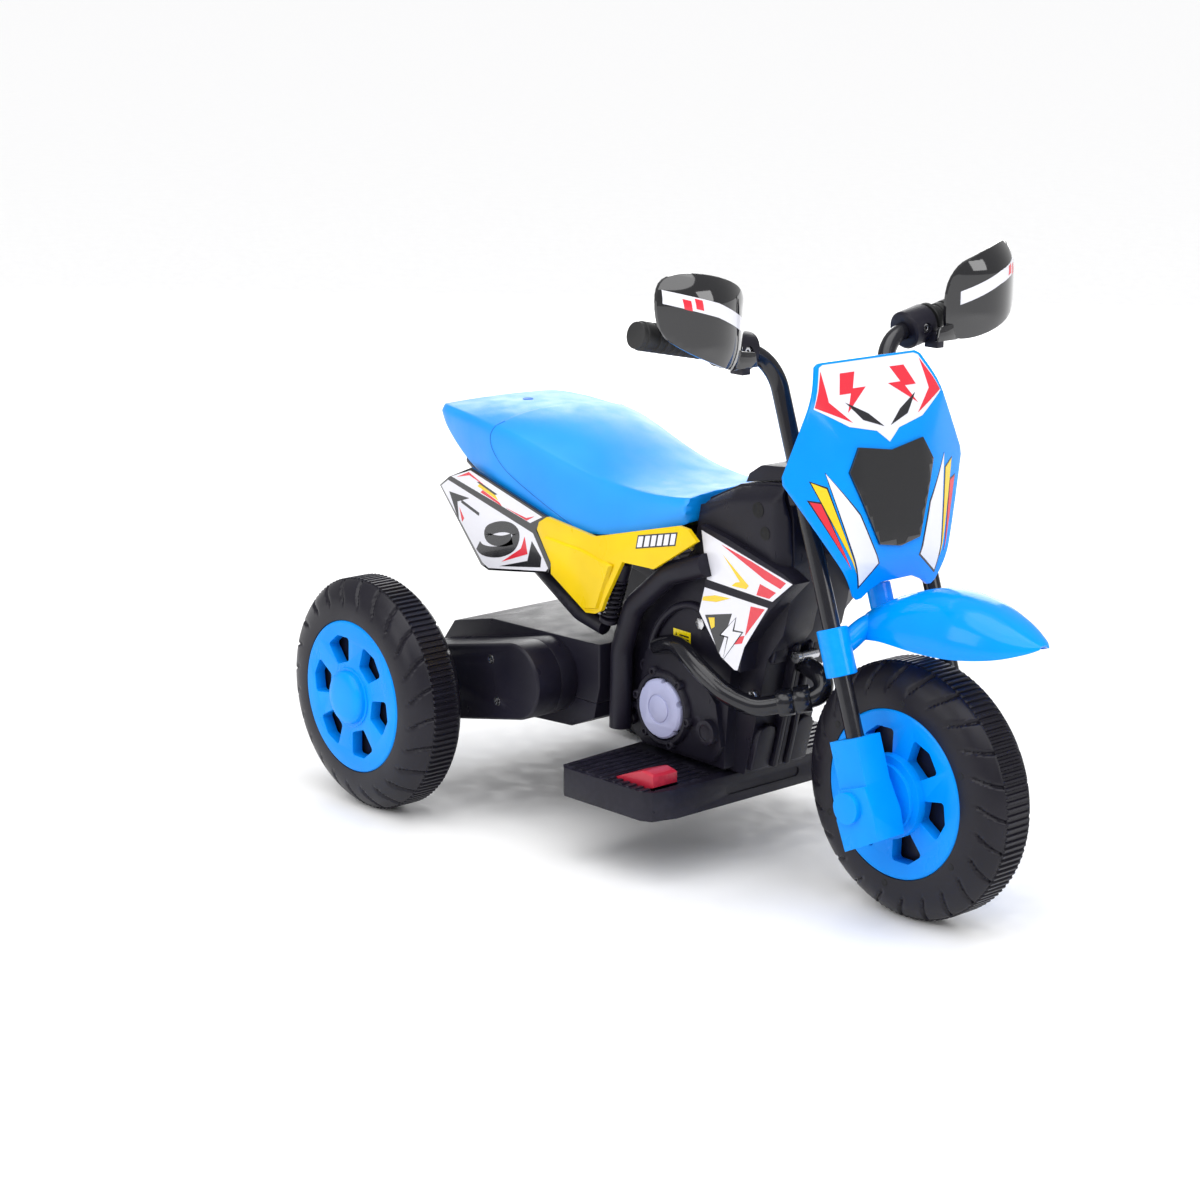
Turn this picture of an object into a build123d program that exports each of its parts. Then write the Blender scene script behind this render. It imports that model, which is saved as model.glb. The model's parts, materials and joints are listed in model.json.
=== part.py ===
from build123d import *
import math
import os

# Electric ride-on trike in motocross style. Millimetres. +X forward, +Y rider's left, +Z up.
# The origin is on the ground, at the middle of the whole trike's length and width.

# ---- driving dimensions ----
WHEEL_R = 117.5
WHEELBASE = 564.5
FRONT_AXLE_X = 272.5
REAR_AXLE_X = FRONT_AXLE_X - WHEELBASE
REAR_TRACK_HALF = 183.0  # middle of a rear wheel
TREAD_HALF = 13.7
DISC_PLANE = 31.7  # outer face of a wheel disc, from the wheel's middle
DISC_R = 77.0
TYRE_WALL = 3.2
AXLE_R = 5.0
BUSH_R = 14.0
RUNNING_GAP = 0.05
FIT_GAP = 0.1

RAKE = 18.8  # degrees, steering axis back from upright
FORK_OFFSET = 6.0  # the fork line passes this far ahead of the axle
FORK_HALF = 67.0
TUBE_R = 8.0
STEM_R = 6.0

WALL = 3.0
BODY_HALF = 50.0
NOSE_HALF = 38.0

GEAR_MODULE = 2.0
GEAR_TEETH = 32
PINION_TEETH = 14
GEAR_SPAN = GEAR_MODULE * (GEAR_TEETH + PINION_TEETH) / 2
GEARBOX_R = 38.0
GEARBOX_TILT = 11.9  # degrees, the gearbox rises towards the front
GEARBOX_LENGTH = 155.0
GEARBOX_IN = 98.0
GEARBOX_OUT = 128.0
PIN_R = 3.0

BOARD_TOP = 90.0
BOARD_BOTTOM = 62.0

os.makedirs("parts", exist_ok=True)

SIDE = Plane.XZ  # its normal points to the rider's right
rake = math.radians(RAKE)
STEER = Plane(
    origin=(FRONT_AXLE_X + FORK_OFFSET, 0, WHEEL_R),
    x_dir=(math.cos(rake), 0, math.sin(rake)),
    z_dir=(-math.sin(rake), 0, math.cos(rake)),
)


def up_the_fork(z):
    """Distance along the steering axis at which it reaches the height z."""
    return (z - WHEEL_R) / math.cos(rake)


def write(piece, name):
    """Labels one finished piece and writes its STEP file."""
    piece.label = name
    export_step(piece, f"parts/{name}.step")


def outline(points, plane):
    """A closed straight-sided face with these corners on a plane."""
    with BuildSketch(plane) as face:
        with BuildLine():
            Polyline(*points, close=True)
        make_face()
    return face.sketch


def disc(plane, radius, hole=0.0):
    """A round face, with a round hole when one is given."""
    with BuildSketch(plane) as face:
        Circle(radius)
        if hole > 0:
            Circle(hole, mode=Mode.SUBTRACT)
    return face.sketch


def mirrored(piece):
    """The same piece on the trike's other side."""
    with BuildPart() as other:
        mirror(piece, about=Plane.XZ)
    return other.part


def tube_along(points, radius, bend):
    """A round bar along straight runs joined by arcs."""
    with BuildPart() as bar:
        with BuildLine() as route:
            FilletPolyline(*points, radius=bend)
        with BuildSketch(Plane(origin=route.line @ 0, z_dir=route.line % 0)):
            Circle(radius)
        sweep(path=route.line)
    return bar.part


def write_pair(right_piece, name):
    """Writes a right-hand piece and its mirror image."""
    write(mirrored(right_piece), f"{name}_left")
    write(right_piece, f"{name}_right")


def write_both(right_piece, name):
    """Writes a right-hand piece and its mirror image as two solids of one node."""
    with BuildPart() as both:
        add(right_piece)
        mirror(right_piece, about=Plane.XZ)
    write(both.part, name)


# ---- wheels ----
WINDOWS = 6
WINDOW_IN = 35.0
WINDOW_OUT = 62.0
WINDOW_ROUND = 3.5
DISC_DEPTH = 12.0


def tyre(centre_x, centre_y):
    """The hollow moulded tyre body, its side pans set back behind the discs."""
    pan = DISC_PLANE - DISC_DEPTH - 2.5
    outer = [
        (BUSH_R + FIT_GAP, pan),
        (DISC_R, pan),
        (DISC_R, DISC_PLANE - 1.5),
        (DISC_R + 5, DISC_PLANE - 0.5),
        (96, 29.5),
        (107, 24.5),
        (114, 18),
        (WHEEL_R - 0.8, TREAD_HALF + 1),
        (WHEEL_R, TREAD_HALF),
    ]
    inner = [
        (WHEEL_R - TYRE_WALL, TREAD_HALF - 1),
        (111, 16),
        (104.5, 22),
        (94.5, 26.3),
        (DISC_R + 5, DISC_PLANE - 3.7),
        (DISC_R + TYRE_WALL, DISC_PLANE - 4.5),
        (DISC_R + TYRE_WALL, pan - TYRE_WALL),
        (BUSH_R + FIT_GAP, pan - TYRE_WALL),
    ]
    section = outer + [(r, -y) for r, y in reversed(outer)]
    section += [(r, -y) for r, y in reversed(inner)] + inner
    hub = Plane(origin=(centre_x, centre_y, WHEEL_R), x_dir=(1, 0, 0), z_dir=(0, 0, 1))
    with BuildPart() as body:
        revolve(outline(section, hub), axis=Axis((centre_x, centre_y, WHEEL_R), (0, 1, 0)))
    return body.part


def wheel_disc(centre_x, centre_y, side, hub_steps, sleeve_to):
    """A blue disc with six windows and a hub sleeve that turns on the axle.

    side is -1 on a wheel's right face and 1 on its left. The sleeve runs through the wheel to
    sleeve_to, measured from the wheel's middle towards the disc's own side.
    """
    face = Plane(origin=(centre_x, centre_y, WHEEL_R), x_dir=(1, 0, 0), z_dir=(0, side, 0))
    hub_end = DISC_PLANE + hub_steps[-1][1]
    with BuildPart() as cover:
        extrude(disc(face.offset(DISC_PLANE - DISC_DEPTH), DISC_R - FIT_GAP), amount=DISC_DEPTH)
        rim = cover.faces().sort_by(Axis((0, 0, 0), (0, side, 0)))[-1]
        chamfer(rim.edges(), 1.5)
        with BuildSketch(face.offset(DISC_PLANE - DISC_DEPTH)) as windows:
            with PolarLocations(0, WINDOWS, start_angle=side * 11):
                Polygon(
                    (WINDOW_IN, -10),
                    (WINDOW_OUT - 5, -18.5),
                    (WINDOW_OUT + 1, 0),
                    (WINDOW_OUT - 5, 18.5),
                    (WINDOW_IN, 10),
                    align=None,
                )
            fillet(windows.vertices(), WINDOW_ROUND)
        extrude(amount=DISC_DEPTH, mode=Mode.SUBTRACT)
        for radius, height in hub_steps:
            extrude(disc(face.offset(DISC_PLANE - 1), radius), amount=height + 1)
        extrude(disc(face.offset(sleeve_to), BUSH_R), amount=DISC_PLANE - sleeve_to)
        extrude(disc(face.offset(sleeve_to), AXLE_R + RUNNING_GAP), amount=hub_end - sleeve_to, mode=Mode.SUBTRACT)
    return cover.part


FRONT_HUB = [(38, 8), (31, 12)]
REAR_HUB = [(30, 2)]
write(tyre(FRONT_AXLE_X, 0), "front_tyre")
write(wheel_disc(FRONT_AXLE_X, 0, -1, FRONT_HUB, 0.1), "front_wheel_disc_right")
write(wheel_disc(FRONT_AXLE_X, 0, 1, FRONT_HUB, 0.1), "front_wheel_disc_left")

for hand, sign in (("right", -1), ("left", 1)):
    middle = sign * REAR_TRACK_HALF
    write(tyre(REAR_AXLE_X, middle), f"rear_tyre_{hand}")
    write(wheel_disc(REAR_AXLE_X, middle, sign, REAR_HUB, -DISC_PLANE), f"rear_wheel_disc_{hand}")

CAP_R = 27.0
CAP_HEIGHT = 9.0
CAP_FLOOR = REAR_TRACK_HALF + DISC_PLANE + REAR_HUB[0][1]
with BuildPart() as hub_cap:
    seat_plane = Plane(origin=(REAR_AXLE_X, -CAP_FLOOR, WHEEL_R), x_dir=(1, 0, 0), z_dir=(0, -1, 0))
    extrude(disc(seat_plane, CAP_R), amount=CAP_HEIGHT)
    fillet(hub_cap.faces().sort_by(Axis.Y)[0].edges(), 6)
    extrude(disc(seat_plane, 12), amount=CAP_HEIGHT - 2.5, mode=Mode.SUBTRACT)
write_pair(hub_cap.part, "hub_cap")

# ---- axles ----
NUT_R = 8.5
NUT_WIDTH = 5.0


def axle(centre_x, half_length):
    """A plain steel bar across the trike."""
    start = Plane(origin=(centre_x, -half_length, WHEEL_R), x_dir=(1, 0, 0), z_dir=(0, 1, 0))
    with BuildPart() as bar:
        extrude(disc(start, AXLE_R), amount=2 * half_length)
    return bar.part


def axle_nuts(centre_x, inner_y):
    """A hexagon nut on each end of an axle, as two separate solids."""
    with BuildPart() as nuts:
        for side in (-1, 1):
            start = Plane(
                origin=(centre_x, side * inner_y, WHEEL_R), x_dir=(1, 0, 0), z_dir=(0, side, 0)
            )
            with BuildSketch(start) as hexagon:
                RegularPolygon(NUT_R, 6)
                Circle(AXLE_R + FIT_GAP, mode=Mode.SUBTRACT)
            extrude(hexagon.sketch, amount=NUT_WIDTH)
    return nuts.part


REAR_NUT_Y = REAR_TRACK_HALF + DISC_PLANE + 2.2
FRONT_AXLE_HALF = FORK_HALF + 13.0
with BuildPart() as rear_axle:
    add(axle(REAR_AXLE_X, REAR_NUT_Y + NUT_WIDTH + 0.5))
    add(axle_nuts(REAR_AXLE_X, REAR_NUT_Y))
write(rear_axle.part, "rear_axle")
write(axle(FRONT_AXLE_X, FRONT_AXLE_HALF), "front_axle")

# ---- fork and handlebar ----
BAR_CORNER_Z = 496.0
BAR_END = (149.0, 221.0, 527.0)
BAR_BEND = 38.0
foot = STEER.from_local_coords(Vector(0, -FORK_HALF, 12))
corner = STEER.from_local_coords(Vector(0, -FORK_HALF, up_the_fork(BAR_CORNER_Z)))
end = Vector(BAR_END[0], -BAR_END[1], BAR_END[2])
write_pair(tube_along([foot, corner, end], TUBE_R, BAR_BEND), "fork_tube")
along = (end - corner).normalized()


def bar_plane(y):
    """A plane square to the right-hand handlebar run where it is y from the middle."""
    share = (y - FORK_HALF) / (BAR_END[1] - FORK_HALF)
    return Plane(origin=corner + (end - corner) * share, x_dir=(1, 0, 0), z_dir=along)


GRIP_R = 12.5
with BuildPart() as grip:
    extrude(disc(bar_plane(129), GRIP_R, TUBE_R + RUNNING_GAP), amount=94)
    extrude(disc(bar_plane(129), GRIP_R + 4, TUBE_R + RUNNING_GAP), amount=4)
    extrude(disc(bar_plane(221.1), GRIP_R - 1), amount=4.9)
    for ring in range(9):
        ring_plane = bar_plane(140 + ring * 8.5)
        extrude(disc(ring_plane, GRIP_R + 1, GRIP_R - 1.2), amount=2.5, mode=Mode.SUBTRACT)
write_pair(grip.part, "grip")

CLAMP_R = 17.5
CLAMP_START = 98.0
CLAMP_LENGTH = 29.0
with BuildPart() as grip_clamp:
    extrude(disc(bar_plane(CLAMP_START), CLAMP_R, TUBE_R + RUNNING_GAP), amount=CLAMP_LENGTH)
    chamfer(grip_clamp.edges().filter_by(GeomType.CIRCLE).sort_by(SortBy.RADIUS)[-2:], 2)
    screw_spot = bar_plane(112).origin
    # a lug in front of the bar carries the hand guard's tab
    with BuildSketch(Plane(origin=(158.5, -112, 0), x_dir=(0, 1, 0), z_dir=(1, 0, 0))) as lug:
        with Locations((-10, 494)):
            Rectangle(9, 14)
    extrude(lug.sketch, amount=15.4)
    clamp_front = Plane(origin=screw_spot + Vector(CLAMP_R + 1, 0, 0), x_dir=(0, 1, 0), z_dir=(-1, 0, 0))
    extrude(disc(clamp_front, 5), amount=5.5, mode=Mode.SUBTRACT)
write_pair(grip_clamp.part, "grip_clamp")

with BuildPart() as clamp_screws:
    for side in (-1, 1):
        head = Plane(
            origin=(screw_spot.X + CLAMP_R - 4.4, side * abs(screw_spot.Y), screw_spot.Z),
            x_dir=(0, 1, 0),
            z_dir=(1, 0, 0),
        )
        with BuildSketch(head) as screw:
            Circle(4.2)
            RegularPolygon(2, 6, mode=Mode.SUBTRACT)
        extrude(screw.sketch, amount=2.6)
write(clamp_screws.part, "clamp_screws")

# ---- hand guards ----
GUARD_IN = (172.0, -125.0)
GUARD_MID = (196.0, -172.0)
GUARD_TIP = (170.0, -222.0)
GUARD_LOW = 492.0
GUARD_HIGH = 580.0
GUARD_FACE = [
    (-127, 520),
    (-129, 545),
    (-137, 561),
    (-153, 570),
    (-176, 577),
    (-198, 579.5),
    (-214, 575),
    (-222.5, 563),
    (-222.5, 545),
    (-217, 528),
    (-199, 514),
    (-175, 503),
    (-152, 495),
    (-137, 495),
    (-129, 503),
]
with BuildPart() as hand_guard:
    with BuildSketch(Plane.XY.offset(GUARD_LOW)):
        with BuildLine():
            outer_arc = ThreePointArc(GUARD_IN, GUARD_MID, GUARD_TIP)
            Line(GUARD_TIP, (GUARD_TIP[0] - 3.4, GUARD_TIP[1] + 1.5))
            ThreePointArc(
                (GUARD_TIP[0] - 3.4, GUARD_TIP[1] + 1.5),
                (GUARD_MID[0] - 3.4, GUARD_MID[1]),
                (GUARD_IN[0] - 3.4, GUARD_IN[1] - 1.5),
            )
            Line((GUARD_IN[0] - 3.4, GUARD_IN[1] - 1.5), GUARD_IN)
        make_face()
    extrude(amount=GUARD_HIGH - GUARD_LOW)
    with BuildSketch(Plane(origin=(100, 0, 0), x_dir=(0, 1, 0), z_dir=(1, 0, 0))) as shield:
        with BuildLine():
            Polyline(*GUARD_FACE, close=True)
        make_face()
        fillet(shield.vertices(), 5)
    extrude(shield.sketch, amount=150, mode=Mode.INTERSECT)
    with BuildSketch(Plane(origin=(0, -116, 0), x_dir=(1, 0, 0), z_dir=(0, -1, 0))) as tab:
        with Locations((176.5, 500)):
            Rectangle(5, 13)
    extrude(tab.sketch, amount=24)
write_pair(hand_guard.part, "hand_guard")

# ---- fork covers ----
with BuildPart() as fork_cover:
    cover_face = Plane(origin=STEER.origin, x_dir=STEER.x_dir, z_dir=(0, -1, 0))
    # across the fork line, along the fork line
    upper = [(-16, 60), (17, 60), (17, 20), (22, -8), (20, -30), (-22, -36), (-24, -8), (-16, 12)]
    extrude(outline(upper, cover_face.offset(FORK_HALF - 14)), amount=30)
    lower = [(18, 18), (22, -8), (20, -30), (-22, -36), (-24, -8), (-14, 18)]
    extrude(outline(lower, cover_face.offset(FORK_HALF + 16)), amount=4)
    cap_face = Plane(origin=(FRONT_AXLE_X, 0, WHEEL_R), x_dir=(1, 0, 0), z_dir=(0, -1, 0))
    extrude(disc(cap_face.offset(46), 16), amount=10)
    tube_foot = STEER.offset(11.5)
    with BuildSketch(tube_foot) as tube_hole:
        with Locations((0, -FORK_HALF)):
            Circle(TUBE_R + FIT_GAP)
    extrude(tube_hole.sketch, amount=80, mode=Mode.SUBTRACT)
    extrude(disc(cap_face.offset(FORK_HALF + 19), 14), amount=6)
    extrude(disc(cap_face.offset(40), AXLE_R + FIT_GAP), amount=FRONT_AXLE_HALF - 39.8, mode=Mode.SUBTRACT)
write_pair(fork_cover.part, "fork_cover")

# ---- fender with the lower steering yoke ----
COLLAR_LOW = up_the_fork(226)
COLLAR_HIGH = up_the_fork(266)
# distance ahead of the front axle, crown height, edge height, half width
FENDER = [
    (-46, 276, 250, 36),
    (-15, 292, 257, 40),
    (30, 305, 257, 41),
    (70, 303, 258, 40),
    (105, 292, 262, 29),
    (128, 281, 268, 15),
    (137, 276, 272, 6),
]
with BuildPart() as fender:
    sections = []
    for ahead, crown, edge, half in FENDER:
        with BuildSketch(Plane(origin=(FRONT_AXLE_X + ahead, 0, 0), x_dir=(0, 1, 0), z_dir=(1, 0, 0))) as rib:
            with BuildLine():
                ThreePointArc((-half, edge), (0, crown), (half, edge))
                Line((half, edge), (half - 2.6, edge))
                ThreePointArc((half - 2.6, edge), (0, crown - 2.8), (-half + 2.6, edge))
                Line((-half + 2.6, edge), (-half, edge))
            make_face()
        sections.append(rib.sketch)
    loft(sections, ruled=True)
    for side in (-1, 1):
        with BuildSketch(STEER.offset(COLLAR_LOW)) as collar:
            with Locations((0, side * FORK_HALF)):
                Circle(14)
        extrude(collar.sketch, amount=COLLAR_HIGH - COLLAR_LOW)
        with BuildSketch(STEER.offset(up_the_fork(250))) as arm:
            with Locations((3, side * 46)):
                Rectangle(20, 30)
        extrude(arm.sketch, amount=14)
    with BuildSketch(STEER.offset(up_the_fork(256))) as yoke:
        Rectangle(18, 100)
    extrude(yoke.sketch, amount=8)
    extrude(disc(STEER.offset(up_the_fork(256)), 11), amount=up_the_fork(293) - up_the_fork(256))
    for side in (-1, 1):
        with BuildSketch(STEER.offset(COLLAR_LOW - 1)) as collar_hole:
            with Locations((0, side * FORK_HALF)):
                Circle(TUBE_R + FIT_GAP)
        extrude(collar_hole.sketch, amount=60, mode=Mode.SUBTRACT)
    extrude(disc(STEER.offset(up_the_fork(240)), STEM_R + FIT_GAP), amount=120, mode=Mode.SUBTRACT)
write(fender.part, "fender")

# ---- steering stem, neck and upper yoke ----
NECK_LOW = up_the_fork(308)
NECK_HIGH = up_the_fork(366)
BRIDGE_LOW = up_the_fork(371)
BRIDGE_HIGH = up_the_fork(393)
with BuildPart() as steering_stem:
    extrude(disc(STEER.offset(up_the_fork(252)), STEM_R), amount=BRIDGE_HIGH + 8 - up_the_fork(252))
    extrude(disc(STEER.offset(up_the_fork(252) - 5), 10), amount=5)
    with BuildSketch(STEER.offset(BRIDGE_HIGH + 0.2)) as nut_face:
        RegularPolygon(10, 6)
    extrude(nut_face.sketch, amount=6)
write(steering_stem.part, "steering_stem")

with BuildPart() as upper_yoke:
    with BuildSketch(STEER.offset(BRIDGE_LOW)) as bridge:
        Rectangle(18, 2 * FORK_HALF)
        with Locations((0, -FORK_HALF), (0, FORK_HALF)):
            Circle(13)
        Circle(15)
    extrude(bridge.sketch, amount=BRIDGE_HIGH - BRIDGE_LOW)
    with BuildSketch(STEER.offset(BRIDGE_LOW)) as bridge_holes:
        with Locations((0, -FORK_HALF), (0, FORK_HALF)):
            Circle(TUBE_R + FIT_GAP)
        Circle(STEM_R + FIT_GAP)
    extrude(bridge_holes.sketch, amount=40, mode=Mode.SUBTRACT)
write(upper_yoke.part, "upper_yoke")

with BuildPart() as steering_neck:
    extrude(disc(STEER.offset(NECK_LOW), 18), amount=NECK_HIGH - NECK_LOW)
    with BuildSketch(SIDE.offset(-14)) as neck_arm:
        with BuildLine():
            Polyline((128, 312), (205, 316), (190, 362), (128, 362), close=True)
        make_face()
    extrude(neck_arm.sketch, amount=28)
    extrude(disc(STEER.offset(NECK_LOW - 1), 10), amount=80, mode=Mode.SUBTRACT)
write(steering_neck.part, "steering_neck")

with BuildPart() as steering_bushes:
    for low in (NECK_LOW, NECK_HIGH - 15):
        extrude(disc(STEER.offset(low), 10, STEM_R + RUNNING_GAP), amount=15)
write(steering_bushes.part, "steering_bushes")

# ---- front panel and visor ----
PANEL_TILT = math.radians(9.3)
PANEL_BULGE = 26.0
PANEL_WALL = 2.6
PANEL = Plane(
    origin=(207, 0, 399),
    x_dir=(0, 1, 0),
    z_dir=(math.cos(PANEL_TILT), 0, math.sin(PANEL_TILT)),
)
PANEL_RIM = [
    (-60.5, 95),
    (60.5, 95),
    (113, 0),
    (47, -112.5),
    (36, -107),
    (20, -101),
    (-20, -101),
    (-36, -107),
    (-47, -112.5),
    (-113, 0),
]
# the same panel seen from above and from the side, as height and width against depth
PANEL_PLAN = [(-113, -1), (-113, 4), (-54, PANEL_BULGE), (54, PANEL_BULGE), (113, 4), (113, -1)]
PANEL_SIDE = [(-114, -1), (-114, 12), (-76, PANEL_BULGE), (22, PANEL_BULGE), (96, 7), (96, -1)]
with BuildPart() as front_panel:
    extrude(outline(PANEL_RIM, PANEL), amount=PANEL_BULGE)
    plan_plane = Plane(origin=PANEL.origin, x_dir=PANEL.x_dir, z_dir=-PANEL.y_dir)
    extrude(outline(PANEL_PLAN, plan_plane), amount=120, both=True, mode=Mode.INTERSECT)
    side_plane = Plane(origin=PANEL.origin, x_dir=PANEL.y_dir, z_dir=PANEL.x_dir)
    extrude(outline(PANEL_SIDE, side_plane), amount=120, both=True, mode=Mode.INTERSECT)
    back_face = front_panel.faces().sort_by(Axis(PANEL.origin, PANEL.z_dir))[0]
    offset(amount=-PANEL_WALL, openings=back_face)
    # two bosses behind the panel meet the upper yoke
    for side in (-1, 1):
        with BuildSketch(PANEL.offset(-8.5)) as boss:
            with Locations((side * 30, -16)):
                Circle(6)
        extrude(boss.sketch, amount=PANEL_BULGE + 7.5)
write(front_panel.part, "front_panel")

VISOR = [(-40.5, 19.5), (0, 13), (40.5, 19.5), (53, -1), (25.5, -67), (0, -71.5), (-25.5, -67), (-53, -1)]
with BuildPart() as visor:
    extrude(outline(VISOR, PANEL.offset(PANEL_BULGE)), amount=2.4)
    chamfer(visor.faces().sort_by(Axis(PANEL.origin, PANEL.z_dir))[-1].edges(), 1)
write(visor.part, "headlight_visor")

# ---- body shells: tank, shrouds and engine relief ----
NOSE = [
    (41, 349),
    (82, 368),
    (122, 375),
    (142, 377),
    (150, 345),
    (152, 306),
    (146, 262),
    (139, 236),
    (119, 210),
    (112, 180),
    (103, 140),
    (91, 93),
    (-40, 93),
    (-64, 110),
    (-66, 160),
    (-58, 210),
    (-28, 250),
    (10, 283),
    (30, 300),
]
FLANK = [
    (41, 344),
    (80, 356),
    (118, 360),
    (132, 345),
    (140, 312),
    (128, 280),
    (100, 262),
    (86, 215),
    (80, 150),
    (76, 97),
    (-38, 97),
    (-62, 112),
    (-64, 160),
    (-56, 208),
    (-26, 248),
    (12, 281),
    (32, 300),
]
SHROUD = [(50, 327), (86, 320), (158, 300), (172, 293), (140, 262), (108, 226), (104, 198), (78, 206), (47, 245), (58, 280)]
ENGINE = [(-34, 165), (-28, 192), (0, 205), (40, 190), (70, 160), (78, 120), (66, 103), (-20, 103), (-34, 120)]
ARCH = [(62, -61, 292), (14, -63, 276), (-34, -65, 236), (-52, -65, 190), (-54, -65, 112)]
frame_arch = tube_along(ARCH, 11, 34)
OIL_CAP = (63.0, 132.0)
with BuildPart() as body_shell:
    extrude(outline(NOSE, SIDE), amount=NOSE_HALF)
    extrude(outline(FLANK, SIDE.offset(NOSE_HALF)), amount=BODY_HALF - NOSE_HALF)
    extrude(outline(SHROUD, SIDE.offset(NOSE_HALF)), amount=58 - NOSE_HALF)
    extrude(outline(ENGINE, SIDE.offset(BODY_HALF)), amount=6)
    with BuildSketch(SIDE) as hollow:
        with BuildLine():
            Polyline(*NOSE, close=True)
        make_face()
        offset(amount=-WALL, kind=Kind.INTERSECTION)
    extrude(hollow.sketch, amount=NOSE_HALF - WALL, mode=Mode.SUBTRACT)
    with BuildSketch(SIDE.offset(NOSE_HALF - WALL - 1)) as side_hollow:
        with BuildLine():
            Polyline(*FLANK, close=True)
        make_face()
        offset(amount=-WALL - 2, kind=Kind.INTERSECTION)
    extrude(side_hollow.sketch, amount=BODY_HALF - NOSE_HALF + 1, mode=Mode.SUBTRACT)
    # two screw recesses high on the tank and one low on the shroud
    for x, z, radius in ((117.5, 350, 6), (126, 330, 5), (112, 250, 4.5)):
        with BuildSketch(SIDE.offset(70)) as recess:
            with Locations((x, z)):
                Circle(radius)
        extrude(recess.sketch, amount=-21, mode=Mode.SUBTRACT)
    # room for the steering neck's arm, clamped between the two halves
    with BuildSketch(SIDE) as neck_room:
        with BuildLine():
            Polyline((127.5, 311.5), (207, 315.5), (192, 362.5), (127.5, 362.5), close=True)
        make_face()
    extrude(neck_room.sketch, amount=14.2, mode=Mode.SUBTRACT)
    oil = Plane(origin=(OIL_CAP[0], 0, OIL_CAP[1]), x_dir=(1, 0, 0), z_dir=(0, -1, 0))
    extrude(disc(oil.offset(BODY_HALF), 12), amount=13)
    extrude(disc(oil.offset(BODY_HALF + 12), 7.5), amount=4, mode=Mode.SUBTRACT)
    add(frame_arch)
write_pair(body_shell.part, "body_shell")

# ---- dash plate and direction switch ----
SWITCH_PIVOT = (124.0, 0.0, 389.0)
with BuildPart() as dash:
    dash_side = [(84, 369.5), (88, 378), (104, 388), (140, 391), (141.5, 379), (122, 376.3)]
    extrude(outline(dash_side, SIDE.offset(-34)), amount=68)
    chamfer(dash.edges().filter_by(Axis.Y).sort_by(Axis.Z)[-3:], 1.5)
    switch_plane = Plane(origin=(124, 0, 390), x_dir=(1, 0, 0), z_dir=(-0.0832, 0, 0.9965))
    with BuildSketch(switch_plane.offset(-20)) as switch_hole:
        Rectangle(32, 22)
    extrude(switch_hole.sketch, amount=40, mode=Mode.SUBTRACT)
    extrude(disc(Plane(origin=SWITCH_PIVOT, z_dir=(0, 1, 0)).offset(-12.2), 2.0 + RUNNING_GAP), amount=24.4, mode=Mode.SUBTRACT)
write(dash.part, "dash_plate")

with BuildPart() as rocker:
    side_view = [(110.5, 385), (110.5, 391), (117, 400), (125, 397), (137.5, 403), (137.5, 387), (124, 383)]
    extrude(outline(side_view, SIDE.offset(-9)), amount=18)
    fillet(rocker.edges().filter_by(Axis.Y).sort_by(Axis.Z)[-3:], 1.2)
    extrude(disc(Plane(origin=SWITCH_PIVOT, z_dir=(0, 1, 0)).offset(-12), 2.0), amount=24)
write(rocker.part, "direction_rocker")

# ---- seat ----
# station x, crown z, edge z, half width at the edge, bottom z, half width at the bottom
SEAT = [
    (-339, 391, 389, 58, 385, 56),
    (-313, 395, 393, 78, 374, 76),
    (-272, 397, 386, 86, 343, 80),
    (-228, 398, 380, 91, 328, 84),
    (-182, 397, 383, 90, 315, 85),
    (-128, 385, 362, 86, 303, 85),
    (-78, 363, 352, 82, 298, 84),
    (-28, 350, 347, 78, 309, 78),
    (10, 350, 347, 68, 318, 68),
    (33, 353, 349, 61, 325, 61),
]


def seat_section(station, skin):
    """The seat's cross-section at one station, pulled in by the skin thickness."""
    x, crown, edge, half, bottom, half_bottom = station
    with BuildSketch(Plane(origin=(x, 0, 0), x_dir=(0, 1, 0), z_dir=(1, 0, 0))) as section:
        with BuildLine():
            Polyline(
                (-half_bottom + skin, bottom - skin),
                (-half + skin, edge - skin),
                (-half * 0.55, (edge + crown * 2) / 3 - skin),
                (half * 0.55, (edge + crown * 2) / 3 - skin),
                (half - skin, edge - skin),
                (half_bottom - skin, bottom - skin),
                close=True,
            )
        make_face()
    return section.sketch


with BuildPart() as seat:
    loft([seat_section(station, 0) for station in SEAT], ruled=True)
    loft([seat_section(station, 3.2) for station in SEAT[1:-1]], ruled=True, mode=Mode.SUBTRACT)
    with BuildSketch(Plane.XY.offset(420)) as screw_recess:
        with Locations((-273, 0)):
            Circle(5)
    extrude(screw_recess.sketch, amount=-29, mode=Mode.SUBTRACT)
write(seat.part, "seat")

# ---- seat base, side panels and number plates ----
BASE = [
    (8, 306),
    (-57, 288),
    (-160, 262),
    (-262, 318),
    (-290, 336),
    (-280, 342),
    (-228, 324),
    (-150, 302),
    (-78, 294),
    (-60, 294),
    (8, 316),
]
SEAT_BASE_HALF = 62.0
strut = tube_along([(-190, -66, 258), (-112, -66, 214), (-78, -64, 206)], 8, 30)
with BuildPart() as seat_base:
    extrude(outline(BASE, SIDE.offset(-SEAT_BASE_HALF)), amount=2 * SEAT_BASE_HALF)
    # a round strut below it on each side, and the open end of a tail tube
    add(strut)
    mirror(strut, about=Plane.XZ)
    for side in (-1, 1):
        tail_end = Plane(origin=(-278, side * 52, 331), x_dir=(0, 1, 0), z_dir=(-0.87, 0, 0.49))
        extrude(disc(tail_end.offset(-20), 10), amount=40)
        extrude(disc(tail_end, 7), amount=20, mode=Mode.SUBTRACT)
write(seat_base.part, "seat_base")

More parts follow.
